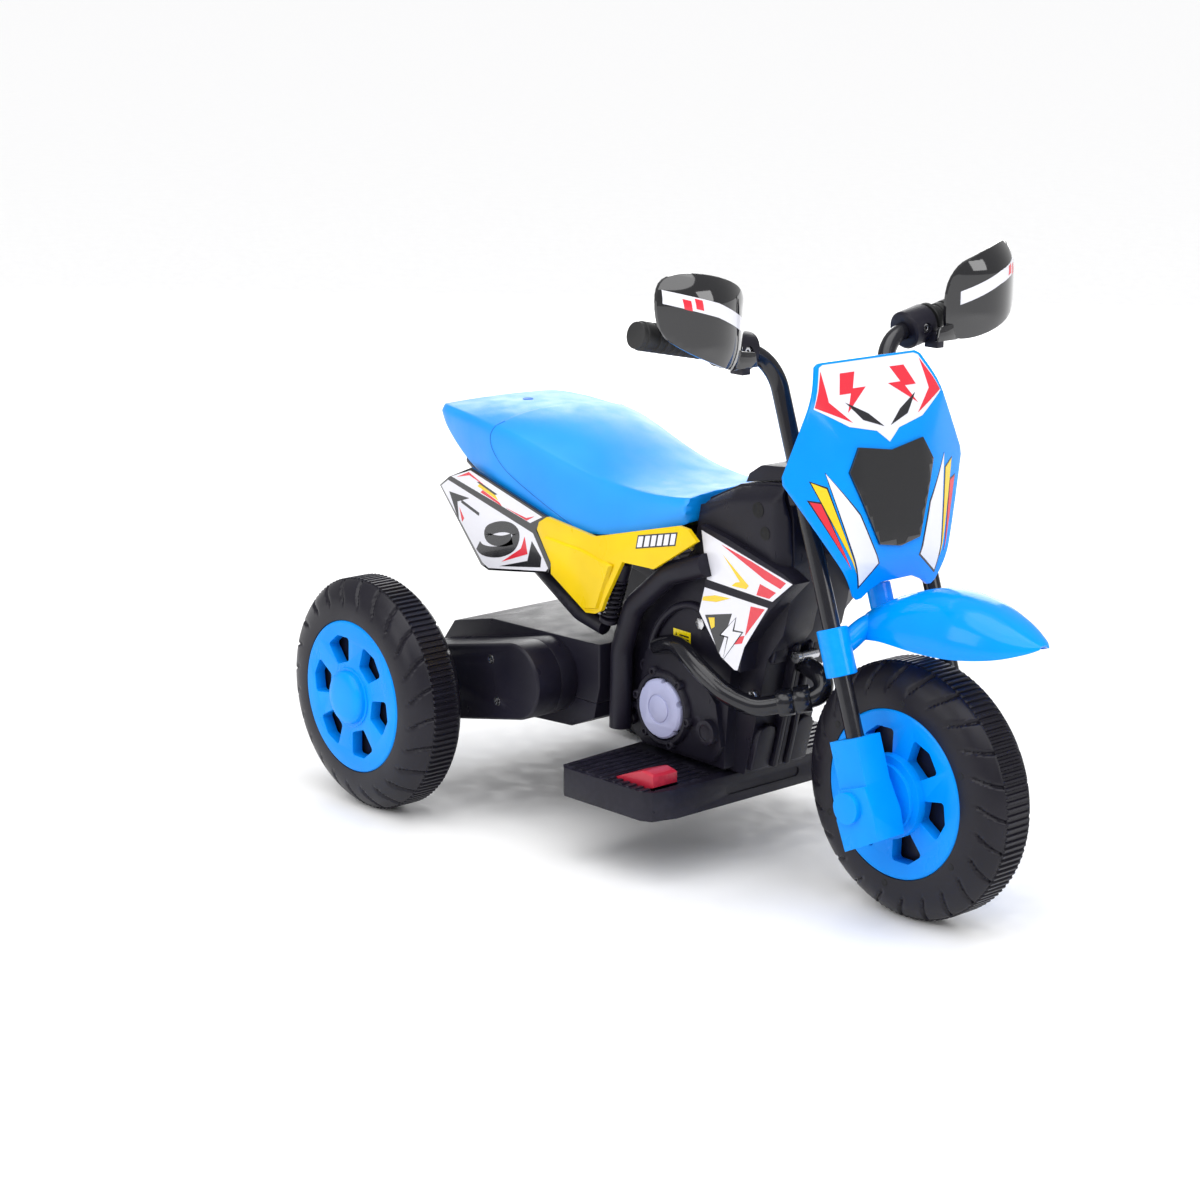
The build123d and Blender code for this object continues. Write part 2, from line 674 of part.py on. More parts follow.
YELLOW = [
    (-147, 295),
    (-143.5, 303),
    (-132, 309.5),
    (-63, 302),
    (36, 326),
    (47, 324),
    (57, 314),
    (8, 281),
    (-26.5, 283),
    (-51.5, 232),
    (-60, 227.5),
    (-74, 226),
    (-126, 254.5),
    (-126, 265),
]
LOBE = [(-134, 291), (-77, 287.5), (-35, 279), (-55, 233), (-75, 229.5), (-122, 257), (-122, 267)]
PLATE_IN = 87.5
# seen from above, the panel's skin follows the seat inwards at the front
PANEL_PATH = [(-180, -PLATE_IN), (-45, -PLATE_IN), (2, -75.5), (60, -65)]
with BuildPart() as side_panel:
    extrude(outline(YELLOW, SIDE.offset(55)), amount=50)
    skin = PANEL_PATH + [(x, y - 4.5) for x, y in reversed(PANEL_PATH)]
    extrude(outline(skin, Plane.XY.offset(200)), amount=200, mode=Mode.INTERSECT)
    extrude(outline(LOBE, SIDE.offset(PLATE_IN + 4)), amount=4, taper=20)
    # two posts hold the panel to the seat base
    for x, z in ((-94, 287), (-50, 294)):
        with BuildSketch(SIDE.offset(SEAT_BASE_HALF)) as post:
            with Locations((x, z)):
                Circle(5)
        extrude(post.sketch, amount=PLATE_IN + 1 - SEAT_BASE_HALF)
write_pair(side_panel.part, "side_panel")

BOARD = [
    (-303.5, 315),
    (-287.5, 326),
    (-251, 340.5),
    (-132, 309.5),
    (-149, 294.5),
    (-126, 264),
    (-131, 254),
    (-224.5, 240),
    (-237, 243.5),
]
with BuildPart() as number_plate:
    extrude(outline(BOARD, SIDE.offset(PLATE_IN)), amount=4)
    for x, z in ((-236, 315), (-190, 290)):
        with BuildSketch(SIDE.offset(SEAT_BASE_HALF)) as plate_post:
            with Locations((x, z)):
                Circle(5)
        extrude(plate_post.sketch, amount=PLATE_IN - SEAT_BASE_HALF)
    cut_back = outline(YELLOW, SIDE.offset(PLATE_IN - 1))
    extrude(cut_back, amount=8, mode=Mode.SUBTRACT)
write_pair(number_plate.part, "number_plate")

# ---- shock absorber, one each side ----
SHOCK_TOP = Vector(-41, -73, 279)
SHOCK_FOOT = Vector(-63, -73, 216)
COILS = 9
with BuildPart() as shock:
    shock_length = (SHOCK_TOP - SHOCK_FOOT).length
    shock_plane = Plane(origin=SHOCK_FOOT, x_dir=(0, 1, 0), z_dir=SHOCK_TOP - SHOCK_FOOT)
    extrude(disc(shock_plane, 7), amount=shock_length)
    for coil in range(COILS):
        coil_plane = shock_plane.offset(8 + coil * 5)
        extrude(disc(coil_plane, 10), amount=2.6)
    extrude(disc(shock_plane.offset(shock_length - 16), 9.5), amount=16)
write_both(shock.part, "shock_absorbers")

# ---- engine pieces ----
ENGINE_FACE = BODY_HALF + 6
with BuildPart() as clutch_cover:
    clutch = Plane(origin=(-0.5, -ENGINE_FACE, 141), x_dir=(1, 0, 0), z_dir=(0, -1, 0))
    extrude(disc(clutch, 29), amount=8)
    chamfer(clutch_cover.faces().sort_by(Axis.Y)[0].edges(), 2)
    with BuildSketch(clutch) as notches:
        with PolarLocations(30, 6, start_angle=20):
            Circle(3.2)
    extrude(notches.sketch, amount=12, mode=Mode.SUBTRACT)
    extrude(disc(clutch.offset(7), 14.5, 12.5), amount=2, mode=Mode.SUBTRACT)
write_both(clutch_cover.part, "clutch_covers")

PIPE_R = 8.5
PIPE = [
    (8, -50, 203),
    (28, -63, 207),
    (60, -67, 193.5),
    (88, -64, 177),
    (121, -48, 167.5),
    (159, -10, 178.5),
    (152, -2, 195),
    (114, 4, 203),
]
with BuildPart() as exhaust_pipe:
    add(tube_along(PIPE, PIPE_R, 12))
    run = Vector(*PIPE[5]) - Vector(*PIPE[4])
    for share in (0.29, 0.58):
        collar_plane = Plane(origin=Vector(*PIPE[4]) + run * share, z_dir=run)
        extrude(disc(collar_plane, 12), amount=15.6)
write(exhaust_pipe.part, "exhaust_pipe")

with BuildPart() as engine_bolts:
    for side in (-1, 1):
        for x, z, depth in ((46, 232, BODY_HALF), (104, 172, NOSE_HALF)):
            bolt = Plane(origin=(x, side * depth, z), x_dir=(1, 0, 0), z_dir=(0, side, 0))
            with BuildSketch(bolt) as bolt_head:
                RegularPolygon(6, 6)
            extrude(bolt_head.sketch, amount=5)
write(engine_bolts.part, "engine_bolts")

# ---- battery inside the body ----
with BuildPart() as battery:
    with BuildSketch(Plane.XY.offset(100)) as battery_plan:
        with Locations((16, 0)):
            Rectangle(70, 47)
    extrude(battery_plan.sketch, amount=98)
    with BuildSketch(Plane.XY.offset(198)) as terminals:
        with Locations((-4, 12), (36, 12)):
            Rectangle(7, 5)
    extrude(terminals.sketch, amount=6)
write(battery.part, "battery")

# ---- rear axle housing, in two halves ----
gear_tilt = math.radians(GEARBOX_TILT)


def gear_centre(step):
    """Where the gear this many spans ahead of the rear axle turns."""
    reach = GEAR_SPAN * step
    return REAR_AXLE_X + reach * math.cos(gear_tilt), WHEEL_R + reach * math.sin(gear_tilt)


HOUSING_HALF = 78.0
SPLIT_Z = 132.0
HOUSING = [
    (-326, 104),
    (-326, 140),
    (-300, 172),
    (-238, 186),
    (-70, 192),
    (-70, 150),
    (-78, 117),
    (-112, 102),
    (-240, 92),
    (-300, 92),
]


def housing_half(keep_side):
    """The hollow axle housing, cut at its parting height, with a bore for the axle."""
    with BuildPart() as half:
        extrude(outline(HOUSING, SIDE.offset(-HOUSING_HALF)), amount=2 * HOUSING_HALF)
        with BuildSketch(SIDE.offset(-HOUSING_HALF + WALL)) as inside:
            with BuildLine():
                Polyline(*HOUSING, close=True)
            make_face()
            offset(amount=-WALL, kind=Kind.INTERSECTION)
        extrude(inside.sketch, amount=2 * (HOUSING_HALF - WALL), mode=Mode.SUBTRACT)
        axle_bore = Plane(origin=(REAR_AXLE_X, 0, WHEEL_R), z_dir=(0, 1, 0))
        extrude(disc(axle_bore.offset(-90), AXLE_R + FIT_GAP), amount=180, mode=Mode.SUBTRACT)
        motor_x, motor_z = gear_centre(3)
        motor_bore = Plane(origin=(motor_x, 0, motor_z), x_dir=(1, 0, 0), z_dir=(0, -1, 0))
        extrude(disc(motor_bore, 7), amount=100, mode=Mode.SUBTRACT)
        split(bisect_by=Plane.XY.offset(SPLIT_Z), keep=keep_side)
    return half.part


write(housing_half(Keep.TOP), "axle_housing_upper")
write(housing_half(Keep.BOTTOM), "axle_housing_lower")


def gear_plane(step, out):
    """A plane square to the axle at a gear's centre, this far out to the right."""
    x, z = gear_centre(step)
    return Plane(origin=(x, -out, z), x_dir=(1, 0, 0), z_dir=(0, -1, 0))


# ---- gearbox on the right, plain axle support on the left ----
def stadium(plane, radius):
    """A long round-ended face from the rear axle to the gearbox's front end."""
    front_x = REAR_AXLE_X + GEARBOX_LENGTH * math.cos(gear_tilt)
    front_z = WHEEL_R + GEARBOX_LENGTH * math.sin(gear_tilt)
    with BuildSketch(plane) as face:
        with Locations(((REAR_AXLE_X + front_x) / 2, (WHEEL_R + front_z) / 2)):
            SlotCenterToCenter(GEARBOX_LENGTH, 2 * radius, rotation=GEARBOX_TILT)
    return face.sketch


SCREW_SPOTS = [(-175.5, 165), (-166.5, 124), (-292, 146)]
with BuildPart() as gearbox_cover:
    extrude(stadium(SIDE.offset(GEARBOX_IN), GEARBOX_R), amount=GEARBOX_OUT - GEARBOX_IN)
    chamfer(gearbox_cover.faces().sort_by(Axis.Y)[0].edges(), 2)
    extrude(stadium(SIDE.offset(GEARBOX_IN), GEARBOX_R - WALL), amount=25, mode=Mode.SUBTRACT)
    hub_hole = Plane(origin=(REAR_AXLE_X, 0, WHEEL_R), x_dir=(1, 0, 0), z_dir=(0, -1, 0))
    extrude(disc(hub_hole, 13), amount=150, mode=Mode.SUBTRACT)
    for x, z in SCREW_SPOTS:
        with BuildSketch(SIDE.offset(GEARBOX_OUT)) as screw_room:
            with Locations((x, z)):
                Circle(4.5)
        extrude(screw_room.sketch, amount=-2.5, mode=Mode.SUBTRACT)
write(gearbox_cover.part, "gearbox_cover")
with BuildPart() as axle_support:
    mirror(gearbox_cover.part, about=Plane.XZ)
    extrude(stadium(SIDE.offset(-HOUSING_HALF), GEARBOX_R), amount=HOUSING_HALF - GEARBOX_IN)
    extrude(disc(hub_hole, AXLE_R + FIT_GAP), amount=-150, mode=Mode.SUBTRACT)
write(axle_support.part, "axle_support_left")

with BuildPart() as gearbox_plate:
    extrude(stadium(SIDE.offset(HOUSING_HALF), GEARBOX_R), amount=GEARBOX_IN - HOUSING_HALF)
    extrude(stadium(SIDE.offset(HOUSING_HALF - 1), GEARBOX_R - WALL - 2), amount=16, mode=Mode.SUBTRACT)
    extrude(disc(hub_hole, AXLE_R + FIT_GAP), amount=150, mode=Mode.SUBTRACT)
    extrude(disc(gear_plane(3, 0), 7), amount=150, mode=Mode.SUBTRACT)
    for step in (1, 2):
        extrude(disc(gear_plane(step, HOUSING_HALF), PIN_R), amount=GEARBOX_OUT - 6 - HOUSING_HALF)
write(gearbox_plate.part, "gearbox_base")

SEAT_SCREW_X = -273.0
with BuildPart() as pan_head_screws:
    for side in (-1, 1):
        for x, z in SCREW_SPOTS:
            screw_seat = Plane(origin=(x, side * (GEARBOX_OUT - 2.5), z), x_dir=(1, 0, 0), z_dir=(0, side, 0))
            with BuildSketch(screw_seat) as pan_head:
                Circle(4.3)
                Rectangle(5, 1.1, mode=Mode.SUBTRACT)
                Rectangle(1.1, 5, mode=Mode.SUBTRACT)
            extrude(pan_head.sketch, amount=2.2)
    with BuildSketch(Plane(origin=(SEAT_SCREW_X, 0, 391), x_dir=(1, 0, 0), z_dir=(0, 0, 1))) as seat_head:
        Circle(4.3)
        Rectangle(5, 1.1, mode=Mode.SUBTRACT)
        Rectangle(1.1, 5, mode=Mode.SUBTRACT)
    extrude(seat_head.sketch, amount=2.2)
write(pan_head_screws.part, "pan_head_screws")


def gear_face(plane, teeth, turn, bore):
    """A spur gear's face with straight-flanked teeth, a little thinner than half the pitch."""
    pitch_r = GEAR_MODULE * teeth / 2
    root_r = pitch_r - 1.15 * GEAR_MODULE
    tip_r = pitch_r + 0.85 * GEAR_MODULE
    pitch_angle = 360 / teeth
    corners = []
    for tooth in range(teeth):
        middle = turn + tooth * pitch_angle
        for radius, share in ((root_r, -0.30), (tip_r, -0.105), (tip_r, 0.105), (root_r, 0.30)):
            angle = math.radians(middle + share * pitch_angle)
            corners.append((radius * math.cos(angle), radius * math.sin(angle)))
    with BuildSketch(plane) as face:
        with BuildLine():
            Polyline(*corners, close=True)
        make_face()
        Circle(bore, mode=Mode.SUBTRACT)
    return face.sketch


half_tooth = 180 / GEAR_TEETH
GEAR_BORE = AXLE_R + RUNNING_GAP
with BuildPart() as output_gear:
    # a gap of the big gear faces the next pinion's tooth
    extrude(gear_face(gear_plane(0, 118), GEAR_TEETH, GEARBOX_TILT + half_tooth, GEAR_BORE), amount=5)
    extrude(disc(gear_plane(0, 99.5), 12, GEAR_BORE), amount=REAR_TRACK_HALF - DISC_PLANE - 99.5 - 0.2)
write(output_gear.part, "output_gear")

for step, near, far in ((1, 111, 118), (2, 104, 111)):
    with BuildPart() as reduction:
        pinion_turn = GEARBOX_TILT + 180
        big_turn = GEARBOX_TILT + half_tooth
        extrude(gear_face(gear_plane(step, far), PINION_TEETH, pinion_turn, PIN_R + RUNNING_GAP), amount=5)
        extrude(gear_face(gear_plane(step, near), GEAR_TEETH, big_turn, PIN_R + RUNNING_GAP), amount=5)
        extrude(disc(gear_plane(step, near), 8, PIN_R + RUNNING_GAP), amount=far - near + 1)
    write(reduction.part, f"reduction_gear_{step}")

MOTOR_BACK = 40.0
MOTOR_FRONT = HOUSING_HALF - WALL
MOTOR_R = 17.0
SHAFT_R = 1.6
with BuildPart() as motor:
    extrude(disc(gear_plane(3, MOTOR_BACK), MOTOR_R), amount=MOTOR_FRONT - MOTOR_BACK)
    extrude(disc(gear_plane(3, MOTOR_BACK - 4), 6), amount=4)
    # room for the turning armature and its shaft
    extrude(disc(gear_plane(3, MOTOR_BACK + 3), MOTOR_R - 2.5), amount=MOTOR_FRONT - MOTOR_BACK - 6, mode=Mode.SUBTRACT)
    extrude(disc(gear_plane(3, MOTOR_BACK + 3), SHAFT_R + RUNNING_GAP), amount=MOTOR_FRONT, mode=Mode.SUBTRACT)
write(motor.part, "drive_motor")

with BuildPart() as motor_pinion:
    extrude(disc(gear_plane(3, MOTOR_BACK + 4), SHAFT_R), amount=GEARBOX_IN + 13 - MOTOR_BACK - 4)
    extrude(disc(gear_plane(3, MOTOR_BACK + 6), MOTOR_R - 5), amount=MOTOR_FRONT - MOTOR_BACK - 12)
    extrude(gear_face(gear_plane(3, 104), PINION_TEETH, GEARBOX_TILT + 180, 1.0), amount=6)
write(motor_pinion.part, "motor_pinion")

# ---- footboard ----
BOARD_OUTLINE = [
    (-57, -37),
    (-50, -140),
    (-42, -146),
    (60, -140),
    (70, -134),
    (77, -110),
    (77, 110),
    (70, 134),
    (60, 140),
    (-42, 146),
    (-50, 140),
    (-57, 37),
]
PEDAL_BACK, PEDAL_FRONT = 10.0, 64.0
PEDAL_IN, PEDAL_OUT = 98.0, 128.0
PEDAL_PIVOT_X = PEDAL_BACK + 5.0
PEDAL_PIVOT_Z = 84.0
with BuildPart() as footboard:
    extrude(outline(BOARD_OUTLINE, Plane.XY.offset(BOARD_BOTTOM)), amount=BOARD_TOP - BOARD_BOTTOM)
    offset(amount=-WALL, openings=footboard.faces().sort_by(Axis.Z)[0])
    # stiffening webs below the top skin, whose lower edges lie in the resting face
    for web_x in (-20, 20):
        with BuildSketch(Plane.XY.offset(BOARD_BOTTOM)) as web:
            with Locations((web_x, 16)):
                Rectangle(8, 120)
        extrude(web.sketch, amount=BOARD_TOP - BOARD_BOTTOM)
    # a floor pan under the pedal carries its spring and switch
    with BuildSketch(Plane.XY.offset(BOARD_BOTTOM)) as pan:
        with Locations(((PEDAL_BACK + PEDAL_FRONT) / 2, -(PEDAL_IN + PEDAL_OUT) / 2)):
            Rectangle(PEDAL_FRONT - PEDAL_BACK + 9, PEDAL_OUT - PEDAL_IN + 9)
    extrude(pan.sketch, amount=BOARD_TOP - BOARD_BOTTOM)
    for side in (-1, 1):
        for rib in range(12):
            rib_x = -44 + rib * 9.5
            with BuildSketch(Plane.XY.offset(BOARD_TOP)) as rib_face:
                with Locations((rib_x, side * 98)):
                    Rectangle(4, 84)
            extrude(rib_face.sketch, amount=1.5)
    with BuildSketch(Plane.XY.offset(BOARD_TOP + 5)) as pedal_hole:
        with Locations(((PEDAL_BACK + PEDAL_FRONT) / 2, -(PEDAL_IN + PEDAL_OUT) / 2)):
            Rectangle(PEDAL_FRONT - PEDAL_BACK + 3, PEDAL_OUT - PEDAL_IN + 3)
    extrude(pedal_hole.sketch, amount=-(BOARD_TOP + 5 - BOARD_BOTTOM - 3), mode=Mode.SUBTRACT)
    pivot = Plane(origin=(PEDAL_PIVOT_X, 0, PEDAL_PIVOT_Z), x_dir=(1, 0, 0), z_dir=(0, -1, 0))
    pivot_hole = disc(pivot.offset(PEDAL_IN - 2.7), 2.0 + RUNNING_GAP)
    extrude(pivot_hole, amount=PEDAL_OUT - PEDAL_IN + 5.4, mode=Mode.SUBTRACT)
    # long slot across the front bar
    with BuildSketch(Plane(origin=(90, 0, 76), x_dir=(0, 1, 0), z_dir=(-1, 0, 0))) as slot:
        SlotOverall(96, 10)
    extrude(slot.sketch, amount=14.6, mode=Mode.SUBTRACT)
write(footboard.part, "footboard")

# ---- accelerator pedal ----
pedal_middle = -(PEDAL_IN + PEDAL_OUT) / 2
with BuildPart() as pedal:
    pedal_side = [
        (PEDAL_BACK + 0.5, 81),
        (PEDAL_BACK + 0.5, 90),
        (PEDAL_BACK + 12, 95),
        (PEDAL_FRONT - 12, 106),
        (PEDAL_FRONT, 104),
        (PEDAL_FRONT, 92),
        (PEDAL_BACK + 14, 81),
    ]
    extrude(outline(pedal_side, SIDE.offset(PEDAL_IN)), amount=PEDAL_OUT - PEDAL_IN)
    chamfer(pedal.faces().sort_by(Axis.Z)[-1].edges(), 2)
    extrude(disc(pivot.offset(PEDAL_IN - 2.5), 2.0), amount=PEDAL_OUT - PEDAL_IN + 5)
write(pedal.part, "accelerator_pedal")

with BuildPart() as pedal_spring:
    spring_x = PEDAL_FRONT - 16
    underside_slope = 11 / (PEDAL_FRONT - PEDAL_BACK - 14)
    spring_top = 92 - (PEDAL_FRONT - spring_x) * underside_slope - 2.0
    spring_base = Plane(origin=(spring_x, pedal_middle, BOARD_BOTTOM + 3))
    extrude(disc(spring_base, 6, 4.5), amount=spring_top - BOARD_BOTTOM - 3)
write(pedal_spring.part, "pedal_spring")

with BuildPart() as pedal_switch:
    with BuildSketch(Plane.XY.offset(BOARD_BOTTOM + 3)) as switch_plan:
        with Locations((PEDAL_FRONT - 34, pedal_middle)):
            Rectangle(12, 20)
    extrude(switch_plan.sketch, amount=9)
write(pedal_switch.part, "pedal_switch")

# ---- charging socket on the left flank ----
SOCKET_X, SOCKET_Z = 22.0, 240.0
with BuildPart() as charge_socket:
    socket_face = Plane(origin=(SOCKET_X, BODY_HALF, SOCKET_Z), x_dir=(1, 0, 0), z_dir=(0, 1, 0))
    extrude(disc(socket_face, 9), amount=3)
    chamfer(charge_socket.faces().sort_by(Axis.Y)[-1].edges(), 1)
    extrude(disc(socket_face.offset(1), 3.2), amount=2, mode=Mode.SUBTRACT)
write(charge_socket.part, "charge_socket")
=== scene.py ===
import json
import math

import bmesh
import bpy
from mathutils import Euler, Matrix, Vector
from mathutils.bvhtree import BVHTree

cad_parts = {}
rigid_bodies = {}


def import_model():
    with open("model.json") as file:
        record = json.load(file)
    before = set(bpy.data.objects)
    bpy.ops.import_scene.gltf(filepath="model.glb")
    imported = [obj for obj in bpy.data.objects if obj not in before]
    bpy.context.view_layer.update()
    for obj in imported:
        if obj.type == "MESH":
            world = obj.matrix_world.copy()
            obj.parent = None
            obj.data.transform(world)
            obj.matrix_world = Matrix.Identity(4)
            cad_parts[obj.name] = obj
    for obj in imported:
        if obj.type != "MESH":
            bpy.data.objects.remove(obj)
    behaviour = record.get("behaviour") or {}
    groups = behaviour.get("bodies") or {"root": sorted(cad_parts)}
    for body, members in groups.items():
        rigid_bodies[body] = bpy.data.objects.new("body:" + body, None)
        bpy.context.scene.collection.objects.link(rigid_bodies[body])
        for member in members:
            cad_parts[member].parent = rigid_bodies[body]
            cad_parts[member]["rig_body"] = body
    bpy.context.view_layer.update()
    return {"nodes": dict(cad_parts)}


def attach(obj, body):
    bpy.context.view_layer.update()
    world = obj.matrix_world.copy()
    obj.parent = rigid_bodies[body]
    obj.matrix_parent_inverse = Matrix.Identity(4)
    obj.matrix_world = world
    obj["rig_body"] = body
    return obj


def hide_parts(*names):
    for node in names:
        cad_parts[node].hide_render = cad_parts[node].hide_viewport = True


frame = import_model()

# The electric ride-on trike's looks. Lengths are in millimetres in the frame of the CAD model,
# +X forward, +Y to the rider's left, +Z up, and become metres when a mesh is made. Bevel widths
# are in millimetres too. The floor, the lights and the camera are in metres.
MM = 0.001
WHEEL_R = 117.5
FRONT_AXLE_X = 272.5
REAR_AXLE_X = -292.0
REAR_TRACK_HALF = 183.0
DISC_PLANE = 31.7
PAN_PLANE = 17.2
RAKE = math.radians(18.8)
STEER_X = 278.5
FORK_HALF = 67.0
SIDES = ((-1, "right"), (1, "left"))

# ---- materials ----


def tree(name):
    """A new node material and its shader."""
    material = bpy.data.materials.new(name)
    material.use_nodes = True
    nodes = material.node_tree.nodes
    return material, nodes, material.node_tree.links, nodes["Principled BSDF"]


def noise(nodes, links, coordinate, scale, detail, stretch=(1, 1, 1)):
    """A noise pattern fixed to the object."""
    mapping = nodes.new("ShaderNodeMapping")
    mapping.inputs["Scale"].default_value = stretch
    links.new(coordinate.outputs["Object"], mapping.inputs["Vector"])
    pattern = nodes.new("ShaderNodeTexNoise")
    pattern.inputs["Scale"].default_value = scale
    pattern.inputs["Detail"].default_value = detail
    links.new(mapping.outputs["Vector"], pattern.inputs["Vector"])
    return pattern.outputs["Fac"]


def between(nodes, links, source, low, high, from_low=0.3, from_high=0.7):
    """Maps a pattern to a range of values."""
    ramp = nodes.new("ShaderNodeMapRange")
    ramp.inputs["From Min"].default_value = from_low
    ramp.inputs["From Max"].default_value = from_high
    ramp.inputs["To Min"].default_value = low
    ramp.inputs["To Max"].default_value = high
    links.new(source, ramp.inputs["Value"])
    return ramp.outputs["Result"]


def shaded(colour, factor):
    """A colour made lighter or darker."""
    return tuple(min(1.0, c * factor) for c in colour) + (1.0,)


def mix(nodes, links, factor, first, second):
    """A blend of two colours by a pattern; either may be a socket."""
    blend = nodes.new("ShaderNodeMix")
    blend.data_type = "RGBA"
    links.new(factor, blend.inputs["Factor"])
    for socket, value in ((blend.inputs[6], first), (blend.inputs[7], second)):
        if isinstance(value, bpy.types.NodeSocket):
            links.new(value, socket)
        else:
            socket.default_value = value
    return blend.outputs[2]


def plastic(name, colour, rough, grain=0.0, coat=0.0, drift=0.10, edge=1.25, flow=0.0, shine=0.5):
    """Moulded plastic or paint: slow drift of tone and gloss, fine mould grain, paler edges that are partly
    wear and partly a painted edge highlight.

    grain is the depth of the fine texture and flow that of the slow ripples left by moulding.
    drift is the change of tone, edge how much paler the edges are (wear and a painted edge highlight), and
    shine the reflectance.
    """
    material, nodes, links, shader = tree(name)
    place = nodes.new("ShaderNodeTexCoord")
    slow = noise(nodes, links, place, 14.0, 3.0)
    tone = between(nodes, links, slow, 0.0, 1.0)
    body = mix(nodes, links, tone, shaded(colour, 1 - drift), shaded(colour, 1 + drift))
    # Pale convex edges, broken up by noise: partly wear, partly a painted edge highlight.
    edge_pointiness = nodes.new("ShaderNodeNewGeometry")
    edges = between(nodes, links, edge_pointiness.outputs["Pointiness"], 0.0, 1.0, 0.53, 0.62)
    edge_patches = noise(nodes, links, place, 160.0, 4.0)
    edge_wear_and_highlight = nodes.new("ShaderNodeMath")
    edge_wear_and_highlight.operation = "MULTIPLY"
    links.new(edges, edge_wear_and_highlight.inputs[0])
    links.new(between(nodes, links, edge_patches, 0.0, 0.6, 0.45, 0.65), edge_wear_and_highlight.inputs[1])
    pale = tuple(min(1.0, c * edge + 0.012) for c in colour) + (1.0,)
    links.new(mix(nodes, links, edge_wear_and_highlight.outputs["Value"], body, pale), shader.inputs["Base Color"])
    gloss = noise(nodes, links, place, 45.0, 5.0, (1.0, 1.0, 0.5))
    links.new(between(nodes, links, gloss, rough * 0.82, rough * 1.25), shader.inputs["Roughness"])
    shader.inputs["Specular IOR Level"].default_value = shine
    shader.inputs["Coat Weight"].default_value = coat
    shader.inputs["Coat Roughness"].default_value = 0.06
    last = None
    for depth, scale, detail in ((flow, 22.0, 2.0), (grain, 1500.0, 2.0)):
        if depth > 0:
            bump = nodes.new("ShaderNodeBump")
            bump.inputs["Strength"].default_value = depth
            bump.inputs["Distance"].default_value = 0.001
            links.new(noise(nodes, links, place, scale, detail), bump.inputs["Height"])
            if last is not None:
                links.new(last, bump.inputs["Normal"])
            last = bump.outputs["Normal"]
    if last is not None:
        links.new(last, shader.inputs["Normal"])
    return material


def brushed(name, colour, rough, stretch, metal=1.0):
    """Metal or metal-look plastic with fine lines one way."""
    material, nodes, links, shader = tree(name)
    place = nodes.new("ShaderNodeTexCoord")
    lines = noise(nodes, links, place, 240.0, 3.0, stretch)
    tone = between(nodes, links, lines, 0.0, 1.0)
    links.new(mix(nodes, links, tone, shaded(colour, 0.86), shaded(colour, 1.1)), shader.inputs["Base Color"])
    links.new(between(nodes, links, lines, rough * 0.8, rough * 1.3), shader.inputs["Roughness"])
    shader.inputs["Metallic"].default_value = metal
    bump = nodes.new("ShaderNodeBump")
    bump.inputs["Strength"].default_value = 0.08
    bump.inputs["Distance"].default_value = 0.0004
    links.new(lines, bump.inputs["Height"])
    links.new(bump.outputs["Normal"], shader.inputs["Normal"])
    return material


BLUE_RGB = (0.0, 0.29, 0.98)
BLACK_RGB = (0.010, 0.009, 0.017)
blue = plastic("blue_plastic", BLUE_RGB, 0.30, grain=0.05, coat=0.05, flow=0.05, shine=0.14)
blue_gloss = plastic("blue_gloss", BLUE_RGB, 0.16, coat=0.2, flow=0.05, drift=0.06, shine=0.14)
blue_seat = plastic("blue_seat", (0.0, 0.31, 1.0), 0.38, grain=0.12, flow=0.05, drift=0.06, shine=0.6)
yellow = plastic("yellow_plastic", (0.88, 0.60, 0.0), 0.30, grain=0.05, coat=0.1, flow=0.06, shine=0.3)
black = plastic("black_plastic", BLACK_RGB, 0.33, grain=0.22, flow=0.12, edge=2.4, drift=0.2, shine=0.26)
# A near-black for the shallow screw wells: painted shade standing in for the dark inside the holes.
recess_shade_black = plastic("painted_recess_shade", (0.004, 0.004, 0.005), 0.7, grain=0.2, drift=0.2)
tyre_black = plastic("tyre_plastic", (0.010, 0.009, 0.015), 0.34, grain=0.10, flow=0.10, edge=2.6,
                     drift=0.2, shine=0.28)
gloss_black = plastic("gloss_black", (0.006, 0.006, 0.008), 0.07, coat=1.0, flow=0.10, edge=1.5)
tube_black = plastic("tube_black", (0.008, 0.008, 0.012), 0.2, coat=0.25, flow=0.05, edge=1.5, shine=0.4)
rubber = plastic("grip_rubber", (0.012, 0.012, 0.013), 0.5, grain=0.35, edge=1.8, drift=0.2)
silver = plastic("silver_cover", (0.42, 0.44, 0.66), 0.34, grain=0.1, coat=0.1, drift=0.05, edge=1.1)
red = plastic("red_pedal", (0.50, 0.018, 0.045), 0.34, grain=0.1, coat=0.15, flow=0.06)
white_film = plastic("film_white", (0.83, 0.83, 0.90), 0.20, coat=0.5, drift=0.02, edge=1.0)
black_film = plastic("film_black", (0.012, 0.012, 0.016), 0.20, coat=0.5, drift=0.1, edge=1.0)
red_film = plastic("film_red", (0.75, 0.022, 0.045), 0.20, coat=0.5, drift=0.05, edge=1.0)
yellow_film = plastic("film_yellow", (0.88, 0.62, 0.01), 0.20, coat=0.5, drift=0.04, edge=1.0)
label_yellow = plastic("label_yellow", (0.92, 0.72, 0.0), 0.3, drift=0.04, edge=1.0)
# A darker blue: the seat's seam line, and painted shade in the seat's screw well.
seam_and_shade_blue = plastic("seam_and_well_shade", (0.0, 0.15, 0.62), 0.5, drift=0.06)
steel = brushed("zinc_steel", (0.62, 0.62, 0.64), 0.24, (1, 8, 1))
nylon = plastic("nylon", (0.72, 0.72, 0.69), 0.4, grain=0.1)
battery_grey = plastic("battery_case", (0.05, 0.05, 0.055), 0.5, grain=0.3)

# ---- building pieces ----


def to_mesh(name, verts, faces):
    """A mesh object from points in millimetres."""
    mesh = bpy.data.meshes.new(name)
    mesh.from_pydata([Vector(v) * MM for v in verts], [], faces)
    obj = bpy.data.objects.new(name, mesh)
    bpy.context.scene.collection.objects.link(obj)
    return obj


